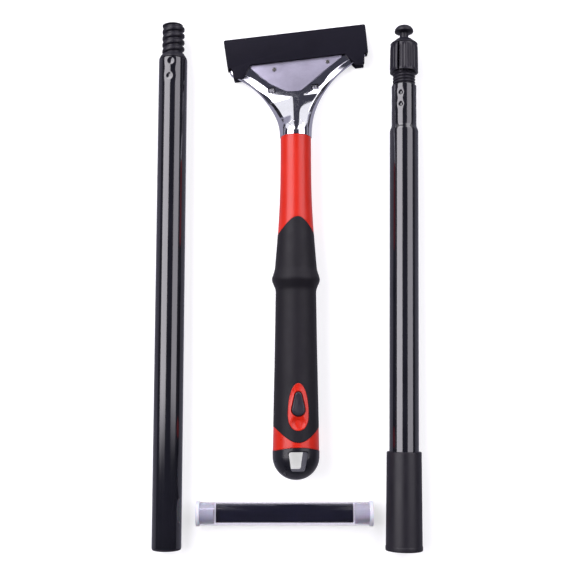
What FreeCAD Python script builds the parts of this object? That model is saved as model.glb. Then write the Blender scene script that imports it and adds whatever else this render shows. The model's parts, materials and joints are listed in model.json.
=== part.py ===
import FreeCAD
import Part
import math
import os
import re
import Sketcher
from FreeCAD import Placement, Rotation, Vector

# A long-reach scraper set laid out flat, as four loose items:
#   - a hand scraper with a skewed 4 inch blade, a blade guard and a hollow two-shot handle,
#   - a lower pole with a coarse male thread,
#   - an upper pole with a quick-lock end and a threaded connector sleeve,
#   - a clear tube of spare blades.
# Row frame: +X right, +Y from the butts of the items to their heads, +Z up from the surface.
# Every round item is drawn along its own Y axis, with its front towards +Z, and then placed.

DIMENSIONS = {
    # where the four items lie
    "threaded_pole_x": -90.2, "threaded_pole_y": -201.98,
    "lock_pole_x": 85.2, "lock_pole_y": -201.88, "lock_pole_z": 13.93, "lock_pole_turn": 0.78,
    "lock_pole_drop": 0.42,
    "handle_x": 5.6, "handle_y": -149.38, "handle_z": 18.17,
    "handle_clock": 6.0,
    "head_skew": 6.95,
    "blade_tube_x": -2.9, "blade_tube_y": -175.88,
    # steel poles
    "pole_radius": 11.0, "pole_wall": 1.0, "pole_length": 373.8,
    "dent_radius": 2.2, "dent_depth": 0.7, "tip_crimp_high": 3.6, "tip_crimp_low": 15.5,
    "tip_crimp_angle": -6.0,
    # threaded tip of the lower pole
    "tip_plug_depth": 36.0, "tip_shoulder": 4.5, "tip_length": 28.6, "tip_core_radius": 7.2,
    "tip_thread_radius": 8.7, "tip_pitch": 5.3, "tip_nose_radius": 6.8,
    "end_plug_depth": 14.0, "end_plug_rim": 1.6,
    # swaged upper pole
    "swage_start": 317.2, "swage_end": 320.4, "neck_radius": 9.6, "lock_pole_length": 352.9,
    "neck_crimp_high": 7.5, "neck_crimp_low": 16.7, "neck_crimp_angle": -22.0, "neck_crimp_rows": 4,
    "sleeve_seat": 30.0,
    # lock plug and collar
    "plug_depth": 34.0, "plug_thread_end": 386.2, "plug_thread_radius": 8.85, "plug_thread_root": 8.0,
    "plug_thread_pitch": 2.4, "cone_radius": 10.6, "cone_top": 391.0, "cone_top_radius": 5.4,
    "stem_radius": 3.4, "stem_top": 395.6, "mushroom_radius": 7.35, "mushroom_top": 402.0,
    "collar_start": 363.6, "collar_length": 22.5, "collar_low_radius": 10.95,
    "collar_high_radius": 10.6, "collar_bore": 9.15, "collar_slit": 1.7, "collar_slit_offset": 5.47,
    "collar_rib_count": 24, "collar_rib_depth": 0.35, "collar_rib_width": 1.1,
    # connector sleeve
    "sleeve_length": 71.9, "sleeve_low_radius": 13.85, "sleeve_high_radius": 13.0,
    "spigot_radius": 11.15, "spigot_depth": 9.0, "socket_shoulder": 4.5, "socket_depth": 40.0,
    "socket_core_radius": 7.45, "socket_thread_radius": 8.95,
    # handle, measured from the butt end
    "joint_station": 257.55, "joint_radius": 11.8, "head_station": 260.7,
    "barrel_station": 232.0, "barrel_radius": 11.85,
    "flare_station": 208.0, "flare_radius": 12.35,
    "swell_station": 180.0, "swell_radius": 13.95,
    "bulge_high_station": 155.2, "bulge_high_radius": 15.95,
    "bulge_station": 147.4, "bulge_radius": 18.15,
    "bulge_low_station": 139.7, "bulge_low_radius": 15.25,
    "palm_station": 94.0, "palm_radius": 15.9,
    "button_zone_station": 55.0, "button_zone_radius": 16.65,
    "butt_radius": 17.35, "butt_end": -1.05,
    "grip_wall": 1.6, "grip_peak": 194.8, "grip_peak_crown": 3.4, "grip_peak_lean": 47.0,
    "grip_lobe": 26.8, "grip_lobe_crown": 11.0, "grip_lobe_lean": 45.0,
    "handle_bore": 11.05, "handle_bore_end": 120.0, "tang_radius": 6.0, "tang_length": 50.0,
    "cap_seam_side": 20.3, "cap_seam_rise": 2.8, "cap_gap": 0.25,
    "cap_plug_radius": 10.95, "cap_plug_end": 33.0,
    "hang_top": 20.0, "hang_bottom": 6.0, "hang_top_width": 14.4, "hang_bottom_width": 9.8,
    "hang_corner": 2.0,
    # release button, catch and spring
    "bezel_low": 43.05, "bezel_low_radius": 7.65, "bezel_high": 64.7, "bezel_high_radius": 5.2,
    "dish_station": 39.6, "dish_radius": 12.0, "dish_depth": 1.3,
    "button_low": 50.7, "button_low_radius": 4.85, "button_high": 61.0, "button_high_radius": 2.5,
    "button_gap": 0.45, "button_top": 17.1, "button_base": 14.6, "button_floor": 12.2,
    "button_travel": 2.2, "button_crown": 0.9, "button_neck_half": 2.6,
    "catch_station": 61.0, "catch_thickness": 3.0, "catch_radius": 10.9, "catch_hole": 7.7,
    "catch_hole_rise": 2.0, "catch_flat": 10.585,
    "spring_recess": 3.3, "spring_top": 16.0, "spring_radius": 2.6, "spring_wire": 0.22,
    "spring_turns": 4, "spring_steps": 20, "spring_sides": 8,
    # head, in the blade's own frame: +X along the blade, origin on the handle axis at the joint
    "plate_back": 2.6, "plate_seat": 6.6, "blade_seat": 6.0,
    "plate_edge": 72.0, "blade_heel": 64.0, "blade_length": 101.6, "blade_width": 14.5,
    "blade_thickness": 0.6, "head_centre": 9.15, "clamp_thickness": 1.2,
    "window_left_x": -14.2, "window_left_y": 39.6, "window_right_x": 19.8, "window_right_y": 38.2,
    "window_width": 6.0, "window_height": 4.6, "nut_width": 4.2, "nut_height": 3.5,
    "nut_thickness": 2.4, "screw_radius": 1.25, "screw_head_radius": 2.4, "screw_head_depth": 1.3,
    "pin_left_x": -10.0, "pin_left_y": 56.0, "pin_right_x": 32.3, "pin_right_y": 57.3,
    "pin_radius": 1.5, "pin_hole_radius": 1.75, "pin_proud": 0.15,
    # blade guard
    "guard_half_width": 56.15, "guard_top": 83.5, "guard_edge": 61.3, "guard_thickness": 10.0,
    "guard_wall": 1.8, "guard_side_wall": 1.6, "guard_claw_tip": 51.6, "guard_claw_outer": 51.4,
    "guard_claw_inner": 44.7, "guard_claw_root": 37.2, "guard_corner": 1.5,
    # spare blade tube
    "tube_length": 125.8, "tube_radius": 8.55, "tube_wall": 0.7, "tube_cap_radius": 9.2,
    "tube_cap_rim": 3.0, "tube_cap_plug": 11.0, "tube_cap_wall": 1.2, "spare_count": 5,
    "spare_gap": 0.05, "spare_tilt": 14.0, "spare_drop": 1.27,
}

ACROSS = Vector(1, 0, 0)
ALONG = Vector(0, 1, 0)
UP = Vector(0, 0, 1)

doc = FreeCAD.newDocument("long_reach_scraper_set")
sheet = doc.addObject("Spreadsheet::Sheet", "dims")
for row, (alias, number) in enumerate(DIMENSIONS.items(), start=1):
    sheet.set(f"A{row}", alias)
    sheet.set(f"B{row}", str(number))
    sheet.setAlias(f"B{row}", alias)
doc.recompute()


# ---------------------------------------------------------------- helpers

def bound(text):
    """Write an expression over the sheet: every alias in the text gets the sheet's name."""
    return re.sub(r"[a-z][a-z_]+", lambda word: f"dims.{word.group()}", text)


def size(text):
    """The number that an expression over the sheet has now."""
    return float(sheet.evalExpression(bound(text)))


def new_body(label):
    body = doc.addObject("PartDesign::Body", label)
    body.Label = label
    return body


def sketch_on(body, name, role="XY_Plane", offset="0", turn=0.0):
    """A sketch on one of the body's origin planes, moved along its normal and turned about its Y."""
    sketch = body.newObject("Sketcher::SketchObject", f"{body.Name}_{name}")
    plane = [feature for feature in body.Origin.OriginFeatures if feature.Role == role][0]
    sketch.AttachmentSupport = [(plane, "")]
    sketch.MapMode = "FlatFace"
    sketch.AttachmentOffset = Placement(Vector(), Rotation(ALONG, turn))
    sketch.setExpression("AttachmentOffset.Base.z", bound(offset))
    return sketch


def pin_down(sketch, geometry, corner, x_text, y_text):
    """Tie one point of the sketch to two expressions."""
    for kind, text in (("DistanceX", x_text), ("DistanceY", y_text)):
        rule = Sketcher.Constraint(kind, -1, 1, geometry, corner, size(text))
        sketch.setExpression(f"Constraints[{sketch.addConstraint(rule)}]", bound(text))


def outline(sketch, corners):
    """A closed polygon whose corners are pairs of expressions."""
    points = [Vector(size(x_text), size(y_text), 0) for x_text, y_text in corners]
    first = sketch.GeometryCount
    count = len(points)
    for index, start in enumerate(points):
        sketch.addGeometry(Part.LineSegment(start, points[(index + 1) % count]), False)
    for index in range(count):
        following = first + (index + 1) % count
        sketch.addConstraint(Sketcher.Constraint("Coincident", first + index, 2, following, 1))
    for index, (x_text, y_text) in enumerate(corners):
        pin_down(sketch, first + index, 1, x_text, y_text)


def circle(sketch, x_text, y_text, radius_text):
    centre = Vector(size(x_text), size(y_text), 0)
    index = sketch.addGeometry(Part.Circle(centre, UP, size(radius_text)), False)
    pin_down(sketch, index, 3, x_text, y_text)
    rule = Sketcher.Constraint("Radius", index, size(radius_text))
    sketch.setExpression(f"Constraints[{sketch.addConstraint(rule)}]", bound(radius_text))


def rounded_outline(sketch, corners, radius):
    """A closed polygon, read from the sheet, whose corners are all rounded by one radius."""
    points = [Vector(size(x_text), size(y_text), 0) for x_text, y_text in corners]
    count = len(points)
    arcs = []
    for index, corner in enumerate(points):
        back = (points[index - 1] - corner).normalize()
        ahead = (points[(index + 1) % count] - corner).normalize()
        half_angle = back.getAngle(ahead) / 2
        reach = radius / math.tan(half_angle)
        centre = corner + (back + ahead).normalize() * (radius / math.sin(half_angle))
        middle = centre + (corner - centre).normalize() * radius
        arcs.append((corner + back * reach, middle, corner + ahead * reach))
    for index, (start, middle, end) in enumerate(arcs):
        sketch.addGeometry(Part.Arc(start, middle, end), False)
        sketch.addGeometry(Part.LineSegment(end, arcs[(index + 1) % count][0]), False)


def teardrop(sketch, low, low_radius, high, high_radius, grow="0"):
    """Two arcs on the Y axis joined by their outer tangents."""
    centres = (Vector(0, size(low), 0), Vector(0, size(high), 0))
    radii = (size(f"{low_radius} + {grow}"), size(f"{high_radius} + {grow}"))
    lean = math.asin((radii[0] - radii[1]) / (centres[1].y - centres[0].y))
    side = Vector(math.cos(lean), math.sin(lean), 0)
    mirrored = Vector(-side.x, side.y, 0)
    right = [centre + side * radius for centre, radius in zip(centres, radii)]
    left = [centre + mirrored * radius for centre, radius in zip(centres, radii)]
    crown = centres[1] + ALONG * radii[1]
    foot = centres[0] - ALONG * radii[0]
    sketch.addGeometry(Part.LineSegment(right[0], right[1]), False)
    sketch.addGeometry(Part.Arc(right[1], crown, left[1]), False)
    sketch.addGeometry(Part.LineSegment(left[1], left[0]), False)
    sketch.addGeometry(Part.Arc(left[0], foot, right[0]), False)


def revolve(body, sketch, feature="Revolution"):
    spun = body.newObject(f"PartDesign::{feature}", f"{sketch.Name}_{feature.lower()}")
    spun.Profile = sketch
    spun.ReferenceAxis = (sketch, ["V_Axis"])
    spun.Angle = 360
    return spun


def pad(body, sketch, length, midplane=False, backwards=False):
    feature = body.newObject("PartDesign::Pad", f"{sketch.Name}_pad")
    feature.Profile = sketch
    feature.setExpression("Length", bound(length))
    feature.Midplane = midplane
    feature.Reversed = backwards
    return feature


def pocket(body, sketch, length, midplane=False, backwards=False):
    """Cut towards -normal, or towards +normal when backwards; it has to remove something."""
    doc.recompute()
    before = body.Shape.Volume
    feature = body.newObject("PartDesign::Pocket", f"{sketch.Name}_pocket")
    feature.Profile = sketch
    feature.setExpression("Length", bound(length))
    feature.Midplane = midplane
    feature.Reversed = backwards
    doc.recompute()
    if not body.Shape.Volume < before - 1e-3:
        raise RuntimeError(f"{feature.Name} cut nothing")
    return feature


def round_edges(body, feature, radius, choose):
    """Fillet the edges of a feature whose bounding boxes are chosen."""
    doc.recompute()
    edges = [f"Edge{index}" for index, edge in enumerate(feature.Shape.Edges, start=1)
             if choose(edge.BoundBox)]
    fillet = body.newObject("PartDesign::Fillet", f"{feature.Name}_{radius}")
    fillet.Base = (feature, edges)
    fillet.setExpression("Radius", bound(radius))


def helix(body, sketch, pitch, height, feature="AdditiveHelix"):
    thread = body.newObject(f"PartDesign::{feature}", f"{sketch.Name}_helix")
    thread.Profile = sketch
    thread.ReferenceAxis = (sketch, ["V_Axis"])
    thread.Mode = 0
    thread.setExpression("Pitch", bound(pitch))
    thread.setExpression("Height", bound(height))
    thread.Reversed = False
    return thread


def dent(body, name, station, angle, radius):
    """One crimp dimple in a pole, at an angle from the front, measured to the right."""
    ball = body.newObject("PartDesign::SubtractiveSphere", f"{body.Name}_{name}")
    ball.setExpression("Radius", bound("dent_radius"))
    plane = [feature for feature in body.Origin.OriginFeatures if feature.Role == "XY_Plane"][0]
    ball.AttachmentSupport = [(plane, "")]
    ball.MapMode = "FlatFace"
    reach = size(f"{radius} + dent_radius - dent_depth")
    lean = math.radians(angle)
    centre = Vector(reach * math.sin(lean), station, reach * math.cos(lean))
    ball.AttachmentOffset = Placement(centre, Rotation())
    return ball


def ring(inner, outer, low, high):
    """The corners of a tube wall's half section."""
    return [(inner, low), (outer, low), (outer, high), (inner, high)]


# ---------------------------------------------------------------- item places

def set_place(target, x_text, y_text, z_text, turn=None):
    if turn is not None:
        target.Placement = Placement(Vector(), turn)
    for axis, text in zip("xyz", (x_text, y_text, z_text)):
        target.setExpression(f"Placement.Base.{axis}", bound(text))


def place_threaded_pole(target):
    set_place(target, "threaded_pole_x", "threaded_pole_y", "pole_radius")


def place_lock_pole(target):
    """It rests on its sleeve and its collar, so its axis drops a little towards the collar."""
    drop = Rotation(ACROSS, -size("lock_pole_drop"))
    turn = Rotation(UP, -size("lock_pole_turn")).multiply(drop)
    set_place(target, "lock_pole_x", "lock_pole_y", "lock_pole_z", turn)


def place_handle(target):
    """The handle lies on its bulge, clocked a little about its own axis."""
    set_place(target, "handle_x", "handle_y", "handle_z", Rotation(ALONG, size("handle_clock")))


def place_head(target):
    turn = Rotation(UP, size("head_skew"))
    set_place(target, "handle_x", "handle_y + head_station", "0", turn)


def place_blade_tube(target):
    set_place(target, "blade_tube_x", "blade_tube_y", "tube_cap_radius", Rotation(UP, -90))


# ---------------------------------------------------------------- lower pole

def make_threaded_pole_tube():
    """Steel tube with two crimps that hold the threaded tip."""
    body = new_body("threaded_pole_tube")
    section = sketch_on(body, "wall")
    outline(section, ring("pole_radius - pole_wall", "pole_radius", "end_plug_rim", "pole_length"))
    revolve(body, section)
    for level in ("high", "low"):
        station = size(f"pole_length - tip_crimp_{level}")
        dent(body, f"crimp_{level}", station, size("tip_crimp_angle"), "pole_radius")
    place_threaded_pole(body)
    return body


def make_threaded_tip():
    """Moulded plug with a shoulder and a coarse rounded male thread."""
    body = new_body("threaded_tip")
    section = sketch_on(body, "core")
    outline(section, [
        ("0", "pole_length - tip_plug_depth"),
        ("pole_radius - pole_wall", "pole_length - tip_plug_depth"),
        ("pole_radius - pole_wall", "pole_length"),
        ("pole_radius", "pole_length"),
        ("pole_radius", "pole_length + 0.6"),
        ("tip_thread_radius + 0.4", "pole_length + tip_shoulder"),
        ("tip_core_radius", "pole_length + tip_shoulder"),
        ("tip_core_radius", "pole_length + tip_length - 0.4"),
        ("tip_nose_radius", "pole_length + tip_length"),
        ("0", "pole_length + tip_length"),
    ])
    revolve(body, section)
    tooth = sketch_on(body, "tooth")
    root = "pole_length + tip_shoulder + 0.3"
    outline(tooth, [
        ("tip_core_radius - 0.3", root),
        ("tip_thread_radius - 0.3", f"{root} + 0.7"),
        ("tip_thread_radius", f"{root} + 1.3"),
        ("tip_thread_radius", f"{root} + 2.3"),
        ("tip_thread_radius - 0.3", f"{root} + 2.9"),
        ("tip_core_radius - 0.3", f"{root} + 3.6"),
    ])
    helix(body, tooth, "tip_pitch", "tip_length - tip_shoulder - 4.5")
    place_threaded_pole(body)
    return body


def make_threaded_pole_end_plug():
    """Rounded plastic plug that closes the hand end of the lower pole."""
    body = new_body("threaded_pole_end_plug")
    section = sketch_on(body, "half")
    outline(section, [
        ("0", "0"),
        ("pole_radius - 1.4", "0"),
        ("pole_radius - 0.4", "0.4"),
        ("pole_radius", "1.3"),
        ("pole_radius", "end_plug_rim"),
        ("pole_radius - pole_wall", "end_plug_rim"),
        ("pole_radius - pole_wall", "end_plug_depth"),
        ("pole_radius - pole_wall - 1.5", "end_plug_depth"),
        ("pole_radius - pole_wall - 1.5", "end_plug_rim + 1"),
        ("0", "end_plug_rim + 1"),
    ])
    revolve(body, section)
    place_threaded_pole(body)
    return body


# ---------------------------------------------------------------- upper pole

def make_lock_pole_tube():
    """Steel tube swaged to a neck, with four rows of two crimps round the lock plug."""
    body = new_body("lock_pole_tube")
    section = sketch_on(body, "wall")
    outline(section, [
        ("pole_radius - pole_wall", "sleeve_length - sleeve_seat"),
        ("pole_radius", "sleeve_length - sleeve_seat"),
        ("pole_radius", "swage_start"),
        ("neck_radius", "swage_end"),
        ("neck_radius", "lock_pole_length"),
        ("neck_radius - pole_wall", "lock_pole_length"),
        ("neck_radius - pole_wall", "swage_end"),
        ("pole_radius - pole_wall", "swage_start"),
    ])
    revolve(body, section)
    rows = int(size("neck_crimp_rows"))
    for row in range(rows):
        angle = size("neck_crimp_angle") + 360.0 * row / rows
        for level in ("high", "low"):
            station = size(f"lock_pole_length - neck_crimp_{level}")
            dent(body, f"crimp_{row}_{level}", station, angle, "neck_radius")
    place_lock_pole(body)
    return body


def make_lock_plug():
    """Moulded plug: fine thread for the collar, cone, stem and mushroom head."""
    body = new_body("lock_plug")
    section = sketch_on(body, "core")
    outline(section, [
        ("0", "lock_pole_length - plug_depth + 3"),
        ("neck_radius - pole_wall", "lock_pole_length - plug_depth + 3"),
        ("neck_radius - pole_wall", "lock_pole_length"),
        ("plug_thread_root", "lock_pole_length"),
        ("plug_thread_root", "plug_thread_end"),
        ("cone_radius", "plug_thread_end"),
        ("cone_radius", "plug_thread_end + 0.5"),
        ("cone_top_radius", "cone_top"),
        ("stem_radius", "cone_top"),
        ("stem_radius", "stem_top"),
        ("mushroom_radius", "stem_top + 0.8"),
        ("mushroom_radius", "stem_top + 2.8"),
        ("mushroom_radius - 0.7", "stem_top + 4.4"),
        ("mushroom_radius - 2.8", "mushroom_top"),
        ("0", "mushroom_top"),
    ])
    revolve(body, section)
    tooth = sketch_on(body, "tooth")
    outline(tooth, [
        ("plug_thread_root - 0.2", "lock_pole_length + 0.3"),
        ("plug_thread_radius", "lock_pole_length + 1.0"),
        ("plug_thread_radius", "lock_pole_length + 1.5"),
        ("plug_thread_root - 0.2", "lock_pole_length + 2.2"),
    ])
    helix(body, tooth, "plug_thread_pitch", "plug_thread_end - lock_pole_length - 3.2")
    place_lock_pole(body)
    return body


def make_lock_collar():
    """Ribbed ring with one slit, free to run down the lock plug's thread."""
    body = new_body("lock_collar")
    section = sketch_on(body, "wall")
    outline(section, [
        ("collar_bore", "collar_start"),
        ("collar_low_radius", "collar_start"),
        ("collar_high_radius", "collar_start + collar_length"),
        ("collar_bore", "collar_start + collar_length"),
    ])
    revolve(body, section)
    rib = sketch_on(body, "rib", "XZ_Plane", "-collar_start - 1.5")
    half = "collar_rib_width * 0.5"
    outline(rib, [
        (f"-{half}", "collar_bore + 0.8"),
        (half, "collar_bore + 0.8"),
        (half, "collar_low_radius + collar_rib_depth - 0.15"),
        (f"-{half}", "collar_low_radius + collar_rib_depth - 0.15"),
    ])
    bar = pad(body, rib, "collar_length - 3", backwards=True)
    doc.recompute()
    ribs = body.newObject("PartDesign::PolarPattern", "lock_collar_ribs")
    ribs.Originals = [bar]
    axis = [feature for feature in body.Origin.OriginFeatures if feature.Role == "Y_Axis"][0]
    ribs.Axis = (axis, [""])
    ribs.Angle = 360
    ribs.Occurrences = int(size("collar_rib_count"))
    body.Tip = ribs
    slit = sketch_on(body, "slit")
    outline(slit, [
        ("-collar_slit_offset - collar_slit * 0.5", "collar_start - 1"),
        ("-collar_slit_offset + collar_slit * 0.5", "collar_start - 1"),
        ("-collar_slit_offset + collar_slit * 0.5", "collar_start + collar_length + 1"),
        ("-collar_slit_offset - collar_slit * 0.5", "collar_start + collar_length + 1"),
    ])
    pocket(body, slit, "collar_low_radius + 2", backwards=True)
    place_lock_pole(body)
    return body


def make_connector_sleeve():
    """Moulded sleeve: its top holds the upper pole, its mouth takes the lower pole's tip."""
    body = new_body("connector_sleeve")
    section = sketch_on(body, "wall")
    outline(section, [
        ("spigot_radius", "0"),
        ("sleeve_low_radius - 0.5", "0"),
        ("sleeve_low_radius", "0.5"),
        ("sleeve_low_radius", "3"),
        ("sleeve_low_radius - 0.25", "3.2"),
        ("sleeve_high_radius", "sleeve_length - 0.6"),
        ("sleeve_high_radius - 0.6", "sleeve_length"),
        ("pole_radius", "sleeve_length"),
        ("pole_radius", "sleeve_length - sleeve_seat"),
        ("0", "sleeve_length - sleeve_seat"),
        ("0", "socket_depth"),
        ("socket_core_radius", "socket_depth"),
        ("socket_core_radius", "spigot_depth + socket_shoulder"),
        ("socket_thread_radius + 0.2", "spigot_depth + socket_shoulder"),
        ("spigot_radius", "spigot_depth + 0.6"),
    ])
    revolve(body, section)
    groove = sketch_on(body, "groove")
    root = "spigot_depth + socket_shoulder - 1.9"
    outline(groove, [
        ("socket_core_radius - 0.4", f"{root} - 0.2"),
        ("socket_thread_radius", f"{root} + 1.1"),
        ("socket_thread_radius", f"{root} + 2.8"),
        ("socket_core_radius - 0.4", f"{root} + 4.1"),
    ])
    helix(body, groove, "tip_pitch", "socket_depth - spigot_depth - socket_shoulder - 3",
          "SubtractiveHelix")
    place_lock_pole(body)
    return body


# ---------------------------------------------------------------- handle

UPPER_STATIONS = ("joint", "barrel", "flare", "swell", "bulge_high")
LOWER_STATIONS = ("bulge_low", "palm", "button_zone")


def profile_point(name, inset):
    return Vector(size(f"{name}_radius") - inset, size(f"{name}_station"), 0)


def handle_profile(sketch, inset=0.0):
    """The handle's outer curve, or one inside it: barrel, bulge, and palm swell down to the butt."""
    upper = [profile_point(name, inset) for name in UPPER_STATIONS]
    foot = Vector(size("butt_radius") - inset, size("butt_radius"), 0)
    lower = [profile_point(name, inset) for name in LOWER_STATIONS] + [foot]
    barrel = Part.BSplineCurve()
    barrel.interpolate(upper)
    palm = Part.BSplineCurve()
    palm.interpolate(lower)
    swell = Part.Arc(upper[-1], profile_point("bulge", inset), lower[0])
    for curve in (barrel, swell, palm):
        sketch.addGeometry(curve, False)
    return upper[0], foot


def close_to_axis(sketch, top, foot):
    """Close a half section with two radii and a stretch of the axis."""
    for start, end in ((foot, Vector(0, foot.y, 0)),
                       (Vector(0, foot.y, 0), Vector(0, top.y, 0)),
                       (Vector(0, top.y, 0), top)):
        sketch.addGeometry(Part.LineSegment(start, end), False)


def arch(sketch, side_half, side, peak, far):
    """A region bounded by an arc over the handle's width and a straight far edge."""
    ends = [Vector(-side_half, side, 0), Vector(side_half, side, 0)]
    far_ends = [Vector(-side_half, far, 0), Vector(side_half, far, 0)]
    sketch.addGeometry(Part.Arc(ends[0], Vector(0, peak, 0), ends[1]), False)
    sketch.addGeometry(Part.LineSegment(ends[1], far_ends[1]), False)
    sketch.addGeometry(Part.LineSegment(far_ends[1], far_ends[0]), False)
    sketch.addGeometry(Part.LineSegment(far_ends[0], ends[0]), False)


def pointed_arch(sketch, half, name, far):
    """A region whose near edge is a rounded V, from the dimensions under a name."""
    peak, crown, lean = size(name), size(f"{name}_crown"), math.radians(size(f"{name}_lean"))
    back = -1 if far > peak else 1
    foot_x = crown * math.sin(lean)
    foot_y = peak + back * crown * (1 - math.cos(lean))
    side = foot_y + back * (half - foot_x) * math.tan(lean)
    feet = [Vector(-foot_x, foot_y, 0), Vector(foot_x, foot_y, 0)]
    corners = [feet[1], Vector(half, side, 0), Vector(half, far, 0), Vector(-half, far, 0),
               Vector(-half, side, 0), feet[0]]
    sketch.addGeometry(Part.Arc(feet[0], Vector(0, peak, 0), feet[1]), False)
    for start, end in zip(corners, corners[1:]):
        sketch.addGeometry(Part.LineSegment(start, end), False)


def make_grip_sleeve():
    """Soft overmould with an arched top, a rounded lower lobe and a window round the button."""
    body = new_body("grip_sleeve")
    shell = sketch_on(body, "shell")
    close_to_axis(shell, *handle_profile(shell))
    revolve(body, shell)
    hollow = sketch_on(body, "hollow")
    close_to_axis(hollow, *handle_profile(hollow, size("grip_wall")))
    revolve(body, hollow, "Groove")
    half = size("butt_radius") + 4
    above = sketch_on(body, "arch")
    pointed_arch(above, half, "grip_peak", size("joint_station") + 10)
    pocket(body, above, "80", midplane=True)
    below = sketch_on(body, "lobe")
    pointed_arch(below, half, "grip_lobe", 0)
    pocket(body, below, "80", midplane=True)
    window = sketch_on(body, "window")
    teardrop(window, "bezel_low", "bezel_low_radius", "bezel_high", "bezel_high_radius")
    pocket(body, window, "butt_radius + 5", backwards=True)
    place_handle(body)
    return body


def make_handle_core(grip):
    """Hard inner moulding: outer curve, pole bore, tang socket, button well, and the grip's seat."""
    blank = new_body("handle_blank")
    outer = sketch_on(blank, "outer")
    close_to_axis(outer, *handle_profile(outer))
    revolve(blank, outer)
    half = size("butt_radius") + 3
    seam = sketch_on(blank, "seam")
    side = size("cap_seam_side + cap_gap")
    arch(seam, half, side - 0.8, size("cap_seam_side + cap_seam_rise + cap_gap"), side - 15)
    pocket(blank, seam, "80", midplane=True)
    bore = sketch_on(blank, "bore")
    outline(bore, ring("0", "handle_bore", "0", "handle_bore_end"))
    revolve(blank, bore, "Groove")
    socket = sketch_on(blank, "socket")
    outline(socket, ring("0", "tang_radius", "joint_station - tang_length", "joint_station + 1"))
    revolve(blank, socket, "Groove")
    dish = blank.newObject("PartDesign::SubtractiveSphere", "thumb_dish")
    dish.setExpression("Radius", bound("dish_radius"))
    plane = [feature for feature in blank.Origin.OriginFeatures if feature.Role == "XY_Plane"][0]
    dish.AttachmentSupport = [(plane, "")]
    dish.MapMode = "FlatFace"
    reach = size("butt_radius - 0.3 + dish_radius - dish_depth")
    dish.AttachmentOffset = Placement(Vector(0, size("dish_station"), reach), Rotation())
    well = sketch_on(blank, "well", offset="button_floor")
    teardrop(well, "button_low", "button_low_radius", "button_high", "button_high_radius", "button_gap")
    pocket(blank, well, "10", backwards=True)
    slot = sketch_on(blank, "slot", "XZ_Plane", "-catch_station")
    circle(slot, "0", "-button_travel - 0.2", "catch_radius + 0.3")
    pocket(blank, slot, "catch_thickness + 0.6", midplane=True)
    neck = sketch_on(blank, "neck", "XZ_Plane", "-catch_station")
    half_text = "button_neck_half + 0.4"
    outline(neck, [(f"-({half_text})", "8"), (half_text, "8"),
                   (half_text, "button_floor + 1"), (f"-({half_text})", "button_floor + 1")])
    pocket(blank, neck, "catch_thickness + 0.6", midplane=True)
    place_handle(blank)
    doc.recompute()
    core = doc.addObject("Part::Cut", "handle_core")
    core.Label = "handle_core"
    core.Base = blank
    core.Tool = grip
    return core


def make_end_cap():
    """Domed pull-off cap with a hanging hole and a plug that fits the pole bore."""
    body = new_body("end_cap")
    dome = sketch_on(body, "dome")
    radius = size("butt_radius")
    peak = size("cap_seam_side + cap_seam_rise")
    end = size("butt_end")
    rim = Vector(radius, end + radius, 0)
    half_way = radius * math.sqrt(0.5)
    shoulder = Vector(half_way, end + radius - half_way, 0)
    dome.addGeometry(Part.Arc(Vector(0, end, 0), shoulder, rim), False)
    dome.addGeometry(Part.LineSegment(rim, Vector(radius, peak, 0)), False)
    dome.addGeometry(Part.LineSegment(Vector(radius, peak, 0), Vector(0, peak, 0)), False)
    dome.addGeometry(Part.LineSegment(Vector(0, peak, 0), Vector(0, end, 0)), False)
    revolve(body, dome)
    seam = sketch_on(body, "seam")
    arch(seam, radius + 3, size("cap_seam_side") - 0.8, peak, peak + 15)
    pocket(body, seam, "80", midplane=True)
    stub = sketch_on(body, "plug")
    outline(stub, ring("0", "cap_plug_radius", "cap_seam_side - 1", "cap_plug_end"))
    revolve(body, stub)
    hole = sketch_on(body, "hang_hole")
    rounded_outline(hole, [
        ("-hang_bottom_width * 0.5", "hang_bottom"),
        ("hang_bottom_width * 0.5", "hang_bottom"),
        ("hang_top_width * 0.5", "hang_top"),
        ("-hang_top_width * 0.5", "hang_top"),
    ], size("hang_corner"))
    pocket(body, hole, "80", midplane=True)
    place_handle(body)
    return body


def make_release_button():
    """Push button: a teardrop cap with a spring recess and a neck that meets the catch."""
    body = new_body("release_button")
    face = sketch_on(body, "face", offset="button_base")
    teardrop(face, "button_low", "button_low_radius", "button_high", "button_high_radius")
    cap = pad(body, face, "button_top - button_base")
    top = size("button_top") - 0.01
    round_edges(body, cap, "button_crown", lambda box: box.ZMin > top)
    recess = sketch_on(body, "recess", offset="button_base")
    circle(recess, "0", "button_low", "spring_recess")
    pocket(body, recess, "spring_top - button_base", backwards=True)
    neck = sketch_on(body, "neck", offset="catch_flat")
    half = "button_neck_half - 0.6"
    low = "catch_station - catch_thickness * 0.5"
    high = "catch_station + catch_thickness * 0.5"
    outline(neck, [(f"-({half})", low), (half, low), (half, high), (f"-({half})", high)])
    pad(body, neck, "button_base + 0.3 - catch_flat")
    place_handle(body)
    return body


def make_catch_ring():
    """Ring in the pole bore whose lower edge hooks behind the mushroom head."""
    body = new_body("catch_ring")
    plate = sketch_on(body, "plate", "XZ_Plane", "-catch_station")
    circle(plate, "0", "0", "catch_radius")
    circle(plate, "0", "catch_hole_rise", "catch_hole")
    pad(body, plate, "catch_thickness", midplane=True)
    flat = sketch_on(body, "flat", "XZ_Plane", "-catch_station")
    outline(flat, [("-6", "catch_flat"), ("6", "catch_flat"), ("6", "catch_flat + 4"),
                   ("-6", "catch_flat + 4")])
    pocket(body, flat, "catch_thickness + 1", midplane=True)
    place_handle(body)
    return body


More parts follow.
